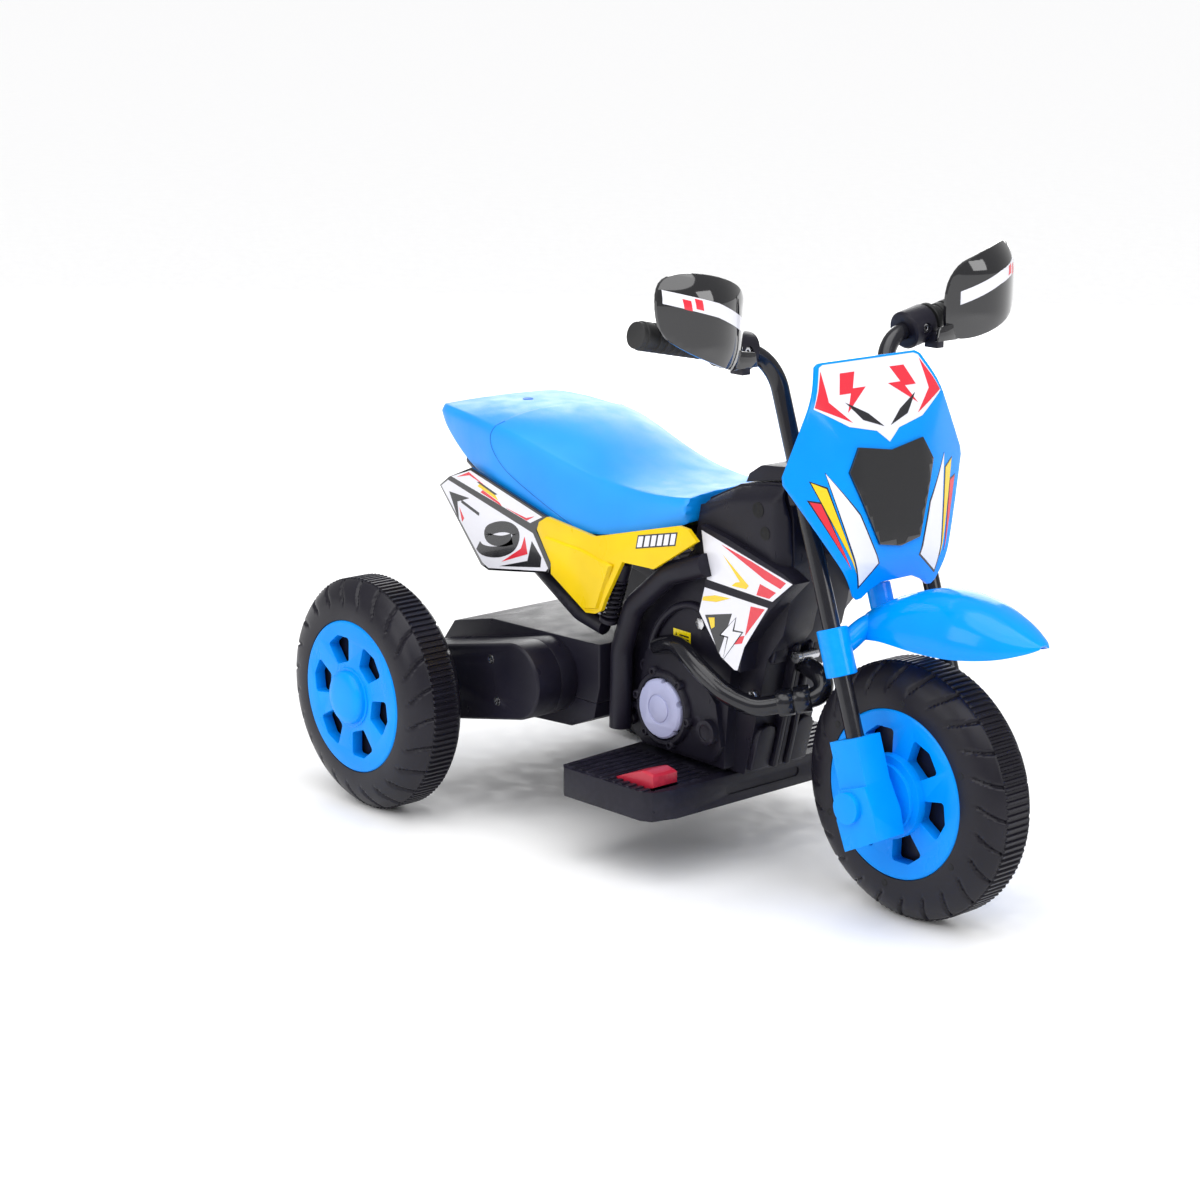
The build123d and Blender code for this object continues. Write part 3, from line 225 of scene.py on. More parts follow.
def settle(obj, body, material, angle=32):
    """Gives a finished piece its material, smooth shading and body."""
    obj.data.materials.clear()
    obj.data.materials.append(material)
    obj.data.polygons.foreach_set("use_smooth", [True] * len(obj.data.polygons))
    obj.data.set_sharp_from_angle(angle=math.radians(angle))
    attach(obj, body)
    return obj


def rounded(obj, width, segments=3, angle=28):
    """Adds the bevel that rounds a piece's edges."""
    bevel = obj.modifiers.new("round", "BEVEL")
    bevel.width = width * MM
    bevel.segments = segments
    bevel.limit_method = "ANGLE"
    bevel.angle_limit = math.radians(angle)
    bevel.use_clamp_overlap = True
    bevel.harden_normals = False
    return obj


def apply_modifiers(obj):
    """Makes a piece's modifiers part of its mesh."""
    graph = bpy.context.evaluated_depsgraph_get()
    mesh = bpy.data.meshes.new_from_object(obj.evaluated_get(graph))
    obj.modifiers.clear()
    obj.data = mesh
    return obj


def node_body(node):
    """The CAD body that a node belongs to."""
    return frame["nodes"][node]["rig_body"]


def soften(node, material, width=0.8, segments=3, angle=28):
    """A copy of a CAD node with rounded edges, shown in its place."""
    form = bmesh.new()
    form.from_mesh(frame["nodes"][node].data)
    bmesh.ops.remove_doubles(form, verts=form.verts, dist=0.00002)
    bmesh.ops.dissolve_limit(form, angle_limit=math.radians(0.6), verts=form.verts, edges=form.edges)
    mesh = bpy.data.meshes.new(node + "_shown")
    form.to_mesh(mesh)
    form.free()
    obj = bpy.data.objects.new(node + "_shown", mesh)
    bpy.context.scene.collection.objects.link(obj)
    rounded(obj, width, segments, angle)
    apply_modifiers(obj)
    settle(obj, node_body(node), material, 40)
    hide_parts(node)
    return obj


def coat_node(node, material):
    """Gives a CAD node that stays its finished material."""
    mesh = frame["nodes"][node].data
    mesh.materials.clear()
    mesh.materials.append(material)


def grid_faces(rows, columns, closed_rows=False, closed_columns=False):
    """Quads over a grid of points stored row by row."""
    faces = []
    for row in range(rows if closed_rows else rows - 1):
        for column in range(columns if closed_columns else columns - 1):
            below = (row + 1) % rows
            beside = (column + 1) % columns
            here, there = row * columns, below * columns
            faces.append((here + column, here + beside, there + beside, there + column))
    return faces


def through(points, per_span):
    """A smooth line through a list of points (Catmull-Rom), as many points per span as asked."""
    points = [Vector(p) for p in points]
    line = []
    for index in range(len(points) - 1):
        before = points[max(index - 1, 0)]
        start, end = points[index], points[index + 1]
        after = points[min(index + 2, len(points) - 1)]
        for step in range(per_span):
            t = step / per_span
            line.append(
                0.5 * (2 * start + (end - before) * t + (2 * before - 5 * start + 4 * end - after) * t * t
                       + (3 * start - before - 3 * end + after) * t ** 3)
            )
    line.append(points[-1])
    return line


def tube(name, line, radius, sides=20, radius_at=None):
    """A round bar along a line of points, closed at both ends."""
    line = [Vector(p) for p in line]
    verts, side = [], None
    for index, point in enumerate(line):
        ahead = (line[min(index + 1, len(line) - 1)] - line[max(index - 1, 0)]).normalized()
        if side is None:
            side = ahead.orthogonal().normalized()
        side = (side - ahead * side.dot(ahead)).normalized()
        up = ahead.cross(side)
        size = radius_at(index / (len(line) - 1)) if radius_at else radius
        for step in range(sides):
            angle = 2 * math.pi * step / sides
            verts.append(point + (side * math.cos(angle) + up * math.sin(angle)) * size)
    faces = grid_faces(len(line), sides, closed_columns=True)
    faces.append(tuple(reversed(range(sides))))
    faces.append(tuple(range(len(verts) - sides, len(verts))))
    return to_mesh(name, verts, faces)


def lathe(name, rings, origin, axis, sides=64):
    """A turned piece: rings of (radius, distance along the axis) from an origin."""
    axis = Vector(axis).normalized()
    side = axis.orthogonal().normalized()
    up = axis.cross(side)
    verts = []
    for radius, reach in rings:
        for step in range(sides):
            angle = 2 * math.pi * step / sides
            outwards = side * math.cos(angle) + up * math.sin(angle)
            verts.append(Vector(origin) + axis * reach + outwards * radius)
    faces = grid_faces(len(rings), sides, closed_columns=True)
    if rings[0][0] > 0.01:
        faces.append(tuple(reversed(range(sides))))
    if rings[-1][0] > 0.01:
        faces.append(tuple(range(len(verts) - sides, len(verts))))
    obj = to_mesh(name, verts, faces)
    weld(obj)
    return obj


def weld(obj):
    """Joins points that coincide and turns every face outwards."""
    form = bmesh.new()
    form.from_mesh(obj.data)
    bmesh.ops.remove_doubles(form, verts=form.verts, dist=0.00001)
    bmesh.ops.recalc_face_normals(form, faces=form.faces)
    form.to_mesh(obj.data)
    form.free()


def slab(name, corners, place, depth):
    """A flat piece with these corners, placed by a function of (across, up, out)."""
    count = len(corners)
    verts = [place(a, b, 0) for a, b in corners] + [place(a, b, depth) for a, b in corners]
    faces = [tuple(range(count)), tuple(reversed(range(count, 2 * count)))]
    for index in range(count):
        after = (index + 1) % count
        faces.append((index, after, count + after, count + index))
    obj = to_mesh(name, verts, faces)
    weld(obj)
    return obj


def flank(side, y):
    """Places (x, z, out) on the trike's side wall that lies y from the middle."""
    return lambda x, z, out: (x, side * (y + out), z)


def join(objects, name):
    """Several pieces made into one."""
    form = bmesh.new()
    for obj in objects:
        form.from_mesh(obj.data)
        bpy.data.objects.remove(obj)
    mesh = bpy.data.meshes.new(name)
    form.to_mesh(mesh)
    form.free()
    obj = bpy.data.objects.new(name, mesh)
    bpy.context.scene.collection.objects.link(obj)
    return obj


def draped(name, corners, surface, step, lift, depth):
    """A patch cut to these corners, laid over a surface function of (a, b, out), in steps."""
    form = bmesh.new()
    form.faces.new([form.verts.new((a, b, 0)) for a, b in corners])
    for axis in (0, 1):
        values = [corner[axis] for corner in corners]
        cut = math.floor(min(values) / step) * step + step
        while cut < max(values):
            normal = (1, 0, 0) if axis == 0 else (0, 1, 0)
            at = (cut, 0, 0) if axis == 0 else (0, cut, 0)
            parts = form.verts[:] + form.edges[:] + form.faces[:]
            bmesh.ops.bisect_plane(form, geom=parts, plane_co=at, plane_no=normal, dist=0.0001)
            cut += step
    base = form.faces[:]
    top = bmesh.ops.extrude_face_region(form, geom=base)
    raised = {v for v in top["geom"] if isinstance(v, bmesh.types.BMVert)}
    for vert in form.verts:
        out = lift + depth if vert in raised else lift
        vert.co = Vector(surface(vert.co.x, vert.co.y, out)) * MM
    bmesh.ops.recalc_face_normals(form, faces=form.faces)
    mesh = bpy.data.meshes.new(name)
    form.to_mesh(mesh)
    form.free()
    obj = bpy.data.objects.new(name, mesh)
    bpy.context.scene.collection.objects.link(obj)
    return obj


def stroke(name, path, width, surface, lift, depth):
    """A painted line of even width along a path of (a, b) on a surface."""
    path = [Vector((a, b)) for a, b in path]
    verts = []
    for index, point in enumerate(path):
        ahead = (path[min(index + 1, len(path) - 1)] - path[max(index - 1, 0)]).normalized()
        beside = Vector((-ahead.y, ahead.x)) * width / 2
        for spot, out in ((point - beside, lift), (point + beside, lift),
                          (point + beside, lift + depth), (point - beside, lift + depth)):
            verts.append(surface(spot.x, spot.y, out))
    faces = grid_faces(len(path), 4, closed_columns=True)
    faces.append((0, 1, 2, 3))
    faces.append(tuple(reversed(range(len(verts) - 4, len(verts)))))
    obj = to_mesh(name, verts, faces)
    weld(obj)
    return obj


def smooth_loop(points, per_span):
    """A closed outline rounded through its corners."""
    ring = [Vector((a, b, 0)) for a, b in points]
    line = through(ring[-2:] + ring + ring[:2], per_span)
    return [(p.x, p.y) for p in line[2 * per_span:(2 + len(ring)) * per_span]]


def mirror_points(points):
    """The same outline on the other side of the middle line."""
    return [(-a, b) for a, b in reversed(points)]


# ---- tyres ----
RIBS = 120
RIB_STEPS = 6
CUTS = 24
RIB_DEPTH = 2.0
CUT_DEPTH = 2.6
CUT_HALF = 2.2
CUT_ROOT = 93
CUT_RUN = 24
CUT_LEAN = math.radians(9.0)
LIP_WIDTH = 1.3
LIP_HEIGHT = 0.45
TREAD_HALF = 13.7
TREAD_STEPS = 8
SHOULDER = [(80, 31.0), (86, 30.9), (92, 30.2), (98, 28.8)]
SHOULDER += [(104, 26.2), (109, 22.8), (113, 19.0), (115.8, 15.6)]


def cut_shape(angle, radius, sweep):
    """How deep the slanted side cuts are at a point of the side wall, less than zero at their lips."""
    if radius < CUT_ROOT:
        return 0.0
    lean = sweep * CUT_LEAN * ((WHEEL_R - radius) / CUT_RUN) ** 1.3
    pitch = 2 * math.pi / CUTS
    off = ((angle - lean) / pitch + 0.5) % 1.0 - 0.5
    away = abs(off) * pitch * radius
    fade = min(1.0, (radius - CUT_ROOT) / 5)
    if away < CUT_HALF:
        return CUT_DEPTH * fade * (1 - (away / CUT_HALF) ** 2)
    if away < CUT_HALF + LIP_WIDTH and off * sweep > 0:
        return -LIP_HEIGHT * fade
    return 0.0


def tyre(node, centre_x, centre_y, sweep):
    """The blow-moulded tyre: ribbed tread, slanted cuts in round shoulders, sunk pans."""
    shoulder = [Vector((r, y, 0)) for r, y in SHOULDER]
    curve = [(p.x, p.y) for p in through(shoulder, 2)]
    half = [(14.3, PAN_PLANE), (45, PAN_PLANE), (76.6, PAN_PLANE), (76.9, 29.8), (77.6, 30.8)]
    half += curve + [(116.0, 14.6)]
    tread = [(WHEEL_R, TREAD_HALF - 2 * TREAD_HALF * k / TREAD_STEPS) for k in range(TREAD_STEPS + 1)]
    profile = half + tread + [(r, -y) for r, y in reversed(half)]
    steps = RIBS * RIB_STEPS
    first_tread, last_tread = len(half), len(half) + len(tread) - 1
    verts = []
    for step in range(steps):
        angle = 2 * math.pi * step / steps
        in_gap = step % RIB_STEPS < RIB_STEPS / 2
        for index, (radius, y) in enumerate(profile):
            if first_tread <= index <= last_tread:
                radius -= RIB_DEPTH if in_gap else 0.0
            elif 90 < radius < 116:
                depth = cut_shape(angle if y < 0 else -angle, radius, sweep)
                radius -= depth * 0.7
                y -= math.copysign(depth * 0.7, y)
            x = centre_x + radius * math.cos(angle)
            verts.append((x, centre_y + y, WHEEL_R + radius * math.sin(angle)))
    faces = grid_faces(steps, len(profile), closed_rows=True)
    obj = to_mesh(node + "_shown", verts, faces)
    weld(obj)
    settle(obj, node_body(node), tyre_black, 38)
    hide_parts(node)


tyre("front_tyre", FRONT_AXLE_X, 0, 1)
tyre("rear_tyre_right", REAR_AXLE_X, -REAR_TRACK_HALF, -1)
tyre("rear_tyre_left", REAR_AXLE_X, REAR_TRACK_HALF, -1)

# The front wheel's screw wells are shallow near-black cups: painted shade of the holes.
WELL_RING_R = 84.5
WELL_PLANE = 30.7
WELL_CUP = [(3.4, 0), (3.2, 0.5), (2.6, 0.45), (0, 0.1)]
for side, hand in SIDES:
    cups = []
    for well in range(6):
        angle = math.radians(25 + 60 * well)
        x = FRONT_AXLE_X + WELL_RING_R * math.cos(angle)
        z = WHEEL_R + WELL_RING_R * math.sin(angle)
        cups.append(lathe("cup", WELL_CUP, (x, side * WELL_PLANE, z), (0, side, 0), 24))
    cups = join(cups, "tyre_screw_wells_" + hand)
    settle(cups, "front_wheel", recess_shade_black)

# ---- wheel discs and caps ----
for place in ("front", "rear"):
    for hand in ("left", "right"):
        soften(f"{place}_wheel_disc_{hand}", blue, 1.3, 3, 30)
CAP_DOME = [(27, 0), (27, 2.5), (26.4, 4.6), (24.8, 6.4), (22, 7.7), (17, 8.5), (10, 8.9), (0, 9.0)]
CAP_Y = REAR_TRACK_HALF + DISC_PLANE + 2
for side, hand in SIDES:
    node = "hub_cap_" + hand
    cap = lathe(node + "_shown", CAP_DOME, (REAR_AXLE_X, side * CAP_Y, WHEEL_R), (0, side, 0))
    settle(cap, node_body(node), blue, 50)
    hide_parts(node)

# ---- seat ----
# station x, crown z, edge z, half width at the edge, bottom z, half width at the bottom
SEAT = [
    (-339, 391, 389, 58, 385, 56),
    (-330, 393.5, 391, 67, 380, 65),
    (-313, 395, 393, 78, 374, 76),
    (-272, 397, 391, 85, 343, 80),
    (-232, 398, 386, 89, 329, 84),
    (-222, 397.5, 385, 90, 327, 84),
    (-215, 399.5, 386, 88, 325, 84.5),
    (-182, 398, 381, 86, 315, 85),
    (-128, 384, 364, 80, 303, 85),
    (-78, 362, 352, 74, 298, 84),
    (-28, 349, 346, 70, 309, 78),
    (10, 350, 346, 64, 318, 68),
    (33, 353, 348, 60, 325, 61),
]
SEAT_ENDS = (-339, 33)
TAIL_STEP = (-222, -215)
TAIL_STEP_LOW = 385


def seat_ring(station):
    """Half of the seat's cross-section, from the bottom edge up to the crown."""
    x, crown, edge, half, bottom, foot = station
    return [
        (foot - 4, bottom + 1.5),
        (foot, bottom),
        (foot + (half - foot) * 0.5 + 1.5, bottom + (edge - bottom) * 0.5),
        (half + 0.5, edge - 5),
        (half - 3.5, edge + 1.0),
        (half * 0.72, edge + (crown - edge) * 0.62),
        (half * 0.38, edge + (crown - edge) * 0.93),
    ]


seat_verts = []
for station in SEAT:
    ring = seat_ring(station)
    seat_verts += [(station[0], -y, z) for y, z in ring]
    seat_verts.append((station[0], 0, station[1]))
    seat_verts += [(station[0], y, z) for y, z in reversed(ring)]
    seat_verts.append((station[0], 0, station[4] + 3.0))
RING = len(seat_verts) // len(SEAT)
seat_faces = grid_faces(len(SEAT), RING, closed_columns=True)
seat_faces.append(tuple(range(RING)))
seat_faces.append(tuple(reversed(range(RING * (len(SEAT) - 1), RING * len(SEAT)))))
seat = to_mesh("seat_shown", seat_verts, seat_faces)
weld(seat)


def is_at(x, places):
    """Whether a place along the seat is one of these, within a millimetre."""
    return any(abs(x - place) < 1 for place in places)


def seat_crease(first, second):
    """How sharp the seat's edge between two of its points stays when the form is smoothed."""
    nearest = min(SEAT, key=lambda station: abs(station[0] - first.x))
    edge, half, bottom = nearest[2:5]
    if abs(first.x - second.x) > 1:
        if abs(first.z - bottom) < 0.3:
            return 0.8
        if abs(first.z - (edge + 1)) < 0.5 and abs(abs(first.y) - (half - 3.5)) < 0.5:
            return 0.75 if first.x < -200 else 0.45
        return 0.0
    if is_at(first.x, SEAT_ENDS) or (is_at(first.x, TAIL_STEP) and first.z > TAIL_STEP_LOW):
        return 0.7
    return 0.0


crease = seat.data.attributes.new("crease_edge", "FLOAT", "EDGE")
for edge in seat.data.edges:
    ends = [seat.data.vertices[v].co / MM for v in edge.vertices]
    crease.data[edge.index].value = seat_crease(*ends)
smooth = seat.modifiers.new("smooth", "SUBSURF")
smooth.levels = 3
smooth.render_levels = 3
apply_modifiers(seat)
settle(seat, "chassis", blue_seat, 50)
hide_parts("seat")


def on_side(tree_of_faces, side, x, z):
    """The point of a surface met by a ray from the side, or None."""
    start = Vector((x, side * 300, z)) * MM
    hit = tree_of_faces.ray_cast(start, Vector((0, -side, 0)))[0]
    return None if hit is None else hit / MM


seat_surface = BVHTree.FromObject(seat, bpy.context.evaluated_depsgraph_get())
SEAM = [(-216, 0, 390), (-222, 0, 376), (-219, 0, 362), (-205, 0, 347), (-182, 0, 335)]
SEAM += [(-140, 0, 318), (-96, 0, 303)]
for side, hand in SIDES:
    met = [on_side(seat_surface, side, point.x, point.z) for point in through(SEAM, 8)]
    line = [point for point in met if point is not None]
    seam = tube("seat_seam_" + hand, line, 0.55, 8)
    settle(seam, "chassis", seam_and_shade_blue, 60)

# ---- fender ----
# distance ahead of the front axle, crown height, edge height, half width
FENDER = [
    (-46, 276, 250, 36),
    (-15, 292, 255, 40),
    (30, 305, 254, 41),
    (70, 303, 256, 40),
    (105, 292, 261, 30),
    (128, 281, 268, 16),
    (137, 276, 272.5, 6),
]
stations = through([Vector((ahead, crown, edge)) for ahead, crown, edge, half in FENDER], 6)
widths = through([Vector((half, 0, 0)) for ahead, crown, edge, half in FENDER], 6)
ARC = 28
# the section is a superellipse, a little fuller than an ellipse
POWER = 2 / 2.35
fender_verts = []
for station, width in zip(stations, widths):
    ahead, crown, edge = station
    for step in range(ARC + 1):
        angle = math.pi * step / ARC
        across = math.copysign(abs(math.cos(angle)) ** POWER, math.cos(angle)) * width.x
        up = abs(math.sin(angle)) ** POWER
        fender_verts.append((FRONT_AXLE_X + ahead, across, edge + (crown - edge) * up))
fender_shell = to_mesh("fender_shell", fender_verts, grid_faces(len(stations), ARC + 1))
weld(fender_shell)
thick = fender_shell.modifiers.new("thick", "SOLIDIFY")
thick.thickness = 2.4 * MM
# the sheet thickens inwards, whichever way its faces point
middle_face = fender_shell.data.polygons[len(fender_shell.data.polygons) // 2 + ARC // 2]
thick.offset = -1 if middle_face.normal.z > 0 else 1
rounded(fender_shell, 0.8, 2, 50)
apply_modifiers(fender_shell)
settle(fender_shell, "steering", blue_gloss, 40)


def up_fork(z):
    """The steering axis's point at a height, in the middle."""
    return Vector((STEER_X - (z - WHEEL_R) * math.tan(RAKE), 0, z))


fork_axis = Vector((-math.sin(RAKE), 0, math.cos(RAKE)))
yoke_parts = []
for side in (-1, 1):
    foot = up_fork(226) + Vector((0, side * FORK_HALF, 0))
    wall = [(8.3, 0), (13.2, 0), (14, 0.8), (14, 41.4), (13.2, 42.2), (8.3, 42.2), (8.3, 0)]
    yoke_parts.append(lathe("collar", wall, foot, fork_axis, 48))
    bend = ((60, -4), (50, 0), (38, 6), (24, 10), (0, 12))
    arm = [up_fork(254) + Vector((2, side * y, rise)) for y, rise in bend]
    yoke_parts.append(tube("arm", through(arm, 6), 9.5, 24))
yoke_parts.append(lathe("post", [(11, 0), (11, 46), (10.2, 46.8), (6.4, 46.8)], up_fork(250), fork_axis, 40))
yoke = join(yoke_parts, "fender_yoke")
settle(yoke, "steering", blue_gloss, 40)
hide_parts("fender")

# ---- front panel ----
PANEL_TILT = math.radians(9.3)
PANEL_ORIGIN = Vector((207, 0, 399))
PANEL_OUT = Vector((math.cos(PANEL_TILT), 0, math.sin(PANEL_TILT)))
PANEL_UP = Vector((-math.sin(PANEL_TILT), 0, math.cos(PANEL_TILT)))
PANEL_BULGE = 26.0
PANEL_RIM = [(-60.5, 95), (60.5, 95), (66, 92), (112, 3), (112, -4), (52, -109), (47, -112.5), (42, -112)]
PANEL_RIM += [(33, -106), (20, -101), (-20, -101), (-33, -106), (-42, -112), (-47, -112.5)]
PANEL_RIM += [(-52, -109), (-112, -4), (-112, 3), (-66, 92)]


def soft_min(first, second, blend):
    """The smaller of two values, with a soft change from one to the other."""
    share = max(blend - abs(first - second), 0.0) / blend
    return min(first, second) - share * share * blend / 4


def panel_depth(u, v):
    """How far the panel stands out of its edge plane."""
    across = max(0.0, (abs(u) - 40) / 73)
    plan = PANEL_BULGE - 22 * across ** 1.3
    if v > 22:
        upright = PANEL_BULGE - 19 * ((v - 22) / 74) ** 1.25
    elif v < -76:
        upright = PANEL_BULGE - 13 * (-76 - v) / 38
    else:
        upright = PANEL_BULGE
    return soft_min(plan, upright, 6.0)


def on_panel(u, v, out):
    """A point of the panel's outer face, raised by out."""
    reach = panel_depth(u, v) + out
    return PANEL_ORIGIN + Vector((0, u, 0)) + PANEL_UP * v + PANEL_OUT * reach


panel = draped("front_panel_shown", PANEL_RIM, on_panel, 6.0, -2.6, 2.6)
rounded(panel, 0.9, 3, 50)
apply_modifiers(panel)
settle(panel, "steering", blue_gloss, 40)
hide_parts("front_panel")
VISOR = [(-40.5, 19.5), (0, 13), (40.5, 19.5), (53, -1), (25.5, -67), (0, -71.5), (-25.5, -67), (-53, -1)]
visor = draped("headlight_visor_shown", VISOR, on_panel, 5.0, 0.05, 2.2)
rounded(visor, 0.8, 3, 50)
apply_modifiers(visor)
settle(visor, "steering", gloss_black, 40)
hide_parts("headlight_visor")

FILM = 0.22
FILM_GAP = 0.05


def film_lift(level):
    """How far a sticker lies off its surface; level counts the stickers under it."""
    return FILM_GAP + FILM * level


def panel_film(name, corners, material, level=0):
    """A thin sticker laid over the front panel."""
    film = draped(name, corners, on_panel, 6.0, film_lift(level), FILM)
    settle(film, "steering", material, 60)


panel_film("panel_film_top", [
    (-57, 93), (57, 93), (62, 91), (80, 57), (46, 38), (14, 31),
    (0, 20), (-14, 31), (-46, 38), (-80, 57), (-62, 91),
], white_film)
CHEVRON = [(-62, 88), (-79, 58), (-41, 41), (-63, 61)]
SLIVER = [(-44, 59), (-28, 42), (-4, 34), (-20, 47)]
SPARK = [(-40, 84), (-22, 84), (-30, 70), (-14, 70), (-44, 50), (-34, 66), (-48, 66)]
for side, hand in SIDES:
    turn = mirror_points if side > 0 else list
    panel_film("panel_chevron_" + hand, turn(CHEVRON), red_film, 1)
    panel_film("panel_sliver_" + hand, turn(SLIVER), black_film, 1)
    panel_film("panel_spark_" + hand, turn(SPARK), red_film, 1)
STREAKS = [
    ("white", white_film, [(-75, 1), (-45, -39), (-27, -83), (-48, -100)]),
    ("yellow", yellow_film, [(-89, -5), (-75.5, -12), (-53, -88)]),
    ("red", red_film, [(-92, -21), (-82, -24), (-59, -84)]),
]


def grown(corners, by):
    """An outline with every side moved outwards by this much, its sharp corners cut short."""
    count = len(corners)
    turn = sum(corners[k - 1][0] * corners[k][1] - corners[k][0] * corners[k - 1][1] for k in range(count))
    way = 1 if turn > 0 else -1
    out = []
    for k in range(count):
        before, here, after = (Vector(corners[(k + step) % count]) for step in (-1, 0, 1))
        first, second = (here - before).normalized(), (after - here).normalized()
        normals = [Vector((line.y, -line.x)) * way for line in (first, second)]
        middle = normals[0] + normals[1]
        reach = min(2.2, 2 / max(middle.length_squared, 0.05)) * by
        out.append(tuple(here + middle * reach))
    return out


for side, hand in SIDES:
    turn = mirror_points if side > 0 else list
    for shade, material, corners in STREAKS:
        panel_film(f"panel_streak_{shade}_{hand}", turn(corners), material, 1)
        panel_film(f"panel_edge_{shade}_{hand}", turn(grown(corners, 1.6)), black_film, 0)

# ---- hand guards ----
GUARD = [(127, 520), (129, 545), (137, 561), (153, 570), (176, 577), (198, 579.5), (214, 575), (221.5, 563)]
GUARD += [(222, 545), (217, 528), (199, 514), (175, 503), (152, 495.5), (137, 495), (129, 503)]


def guard_face(side):
    """The domed front of one hand guard, as a function of (out from the middle, up, raise)."""
    def place(y, z, out):
        share = (y - 173) / 49
        bow = 196 - 24 * share * share
        top = max(0.0, (z - 552) / 28)
        low = max(0.0, (518 - z) / 24)
        roll = 13 * top ** 2 + 5 * low ** 2
        return (bow - roll + out, side * y, z)
    return place


GUARD_NECK = [(113, 493.5), (140, 493.5), (140, 510), (116, 506.5)]
GUARD_BAND = [(137, 526), (137, 538), (176, 555), (218, 567), (219, 556), (176, 543)]
for side, hand in SIDES:
    guard = draped("hand_guard_shown_" + hand, smooth_loop(GUARD, 3), guard_face(side), 5.0, -3.2, 3.2)
    rounded(guard, 1.0, 3, 50)
    apply_modifiers(guard)
    neck = slab("neck", GUARD_NECK, lambda y, z, out, s=side: (174.5 + out, s * y, z), 4.5)
    rounded(neck, 1.0, 2, 40)
    apply_modifiers(neck)
    shown = join([guard, neck], "hand_guard_shown_" + hand)
    settle(shown, "steering", gloss_black, 40)
    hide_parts("hand_guard_" + hand)
    strip = draped("guard_band_" + hand, GUARD_BAND, guard_face(side), 5.0, film_lift(0), FILM)
    settle(strip, "steering", white_film, 60)
    for index, (low_y, high_y) in enumerate(((190, 196), (199, 205))):
        mark = [(low_y, 549.5), (low_y + 1, 558), (high_y + 1, 559.8), (high_y, 551.3)]
        bar = draped(f"guard_mark_{hand}_{index}", mark, guard_face(side), 5.0, film_lift(1), FILM)
        settle(bar, "steering", red_film, 60)

# ---- handlebar, clamps, grips, yoke and fork covers ----
for hand in ("left", "right"):
    coat_node("fork_tube_" + hand, tube_black)
    soften("grip_" + hand, rubber, 0.8, 2, 40)
    soften("grip_clamp_" + hand, black, 1.4, 3, 40)
    soften("fork_cover_" + hand, blue, 1.6, 3, 30)
soften("upper_yoke", black, 1.2)
soften("steering_neck", black, 1.0)
soften("dash_plate", black, 1.0)
soften("direction_rocker", black, 0.8)
soften("clamp_screws", steel, 0.3, 2)

# ---- body, seat base, side panels and plates ----
for hand in ("left", "right"):
    soften("body_shell_" + hand, black, 2.2, 3, 25)
    soften("side_panel_" + hand, yellow, 1.3, 3, 20)
    soften("number_plate_" + hand, gloss_black, 0.8, 3, 30)
soften("seat_base", black, 1.0, 2)
soften("axle_housing_upper", black, 4.0, 4, 20)
soften("axle_housing_lower", black, 3.0, 4, 20)
soften("axle_support_left", black, 1.6, 3)
soften("gearbox_base", black, 1.2, 3)
soften("gearbox_cover", black, 1.6, 3)
soften("footboard", black, 0.9, 2, 30)
soften("accelerator_pedal", red, 1.5, 3, 20)
soften("clutch_covers", silver, 0.6, 2, 30)
for node in ("engine_bolts", "pan_head_screws"):
    soften(node, steel, 0.4, 2)
for node in ("front_axle", "rear_axle", "steering_stem", "motor_pinion", "pedal_spring", "drive_motor"):
    coat_node(node, steel)
for node in ("output_gear", "reduction_gear_1", "reduction_gear_2", "steering_bushes"):
    coat_node(node, nylon)
coat_node("battery", battery_grey)
for node in ("pedal_switch", "charge_socket"):
    coat_node(node, black)

# ---- exhaust pipe ----
PIPE = [
    (-16, -50, 197),
    (0, -54, 203),
    (14, -58, 206.5),
    (28, -62, 206.5),
    (44, -65.5, 201),
    (60, -67, 193.5),
    (75, -66, 185),
    (90, -63, 176.5),
    (106, -56, 170),
    (121, -48, 167.5),
    (140, -29, 173),
    (154, -15, 177),
    (159, -8.5, 181.5),
    (158.5, -4, 188),
    (150, -1, 195.5),
    (132, 1.5, 199.5),
    (114, 4, 203),
]
pipe = tube("pipe", through(PIPE, 8), 9.2, 28)
PIPE_BAND = [(9.3, 0), (12, 0.2), (12.8, 1.2), (12.8, 14.2), (12, 15.2), (9.3, 15.4)]
# the two bands clasp the bend between these two points
run = Vector(PIPE[11]) - Vector(PIPE[9])
parts = [pipe]
for share in (0.33, 0.67):
    parts.append(lathe("band", PIPE_BAND, Vector(PIPE[9]) + run * share, run, 40))
exhaust = join(parts, "exhaust_pipe_shown")
settle(exhaust, "chassis", tube_black, 40)
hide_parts("exhaust_pipe")

# ---- stickers on the plates, the shrouds, the side panels and the body ----
PLATE_Y = 91.5
SHROUD_Y = 58.0
BODY_Y = 50.0


def side_film(name, corners, place_on, material, level):
    """The same thin sticker on both flanks; place_on gives each side's surface."""
    for side, hand in SIDES:
        film = draped(f"{name}_{hand}", corners, place_on(side), 12.0, film_lift(level), FILM)
        settle(film, "chassis", material, 60)


def on_plate(side):
    """A number plate's outer face."""
    return flank(side, PLATE_Y)


def on_shroud(side):
    """A shroud's outer face."""
    return flank(side, SHROUD_Y)


def on_body(side):
    """A body shell's flank."""
    return flank(side, BODY_Y)


def on_side_panel(side):
    """A yellow side panel's outer face, which follows the seat inwards at the front."""
    def place(x, z, out):
        y = 92.0 - min(max(0.0, x + 45), 47) * 12 / 47 - max(0.0, x - 2) * 10.5 / 58
        return (x, side * (y + out), z)
    return place


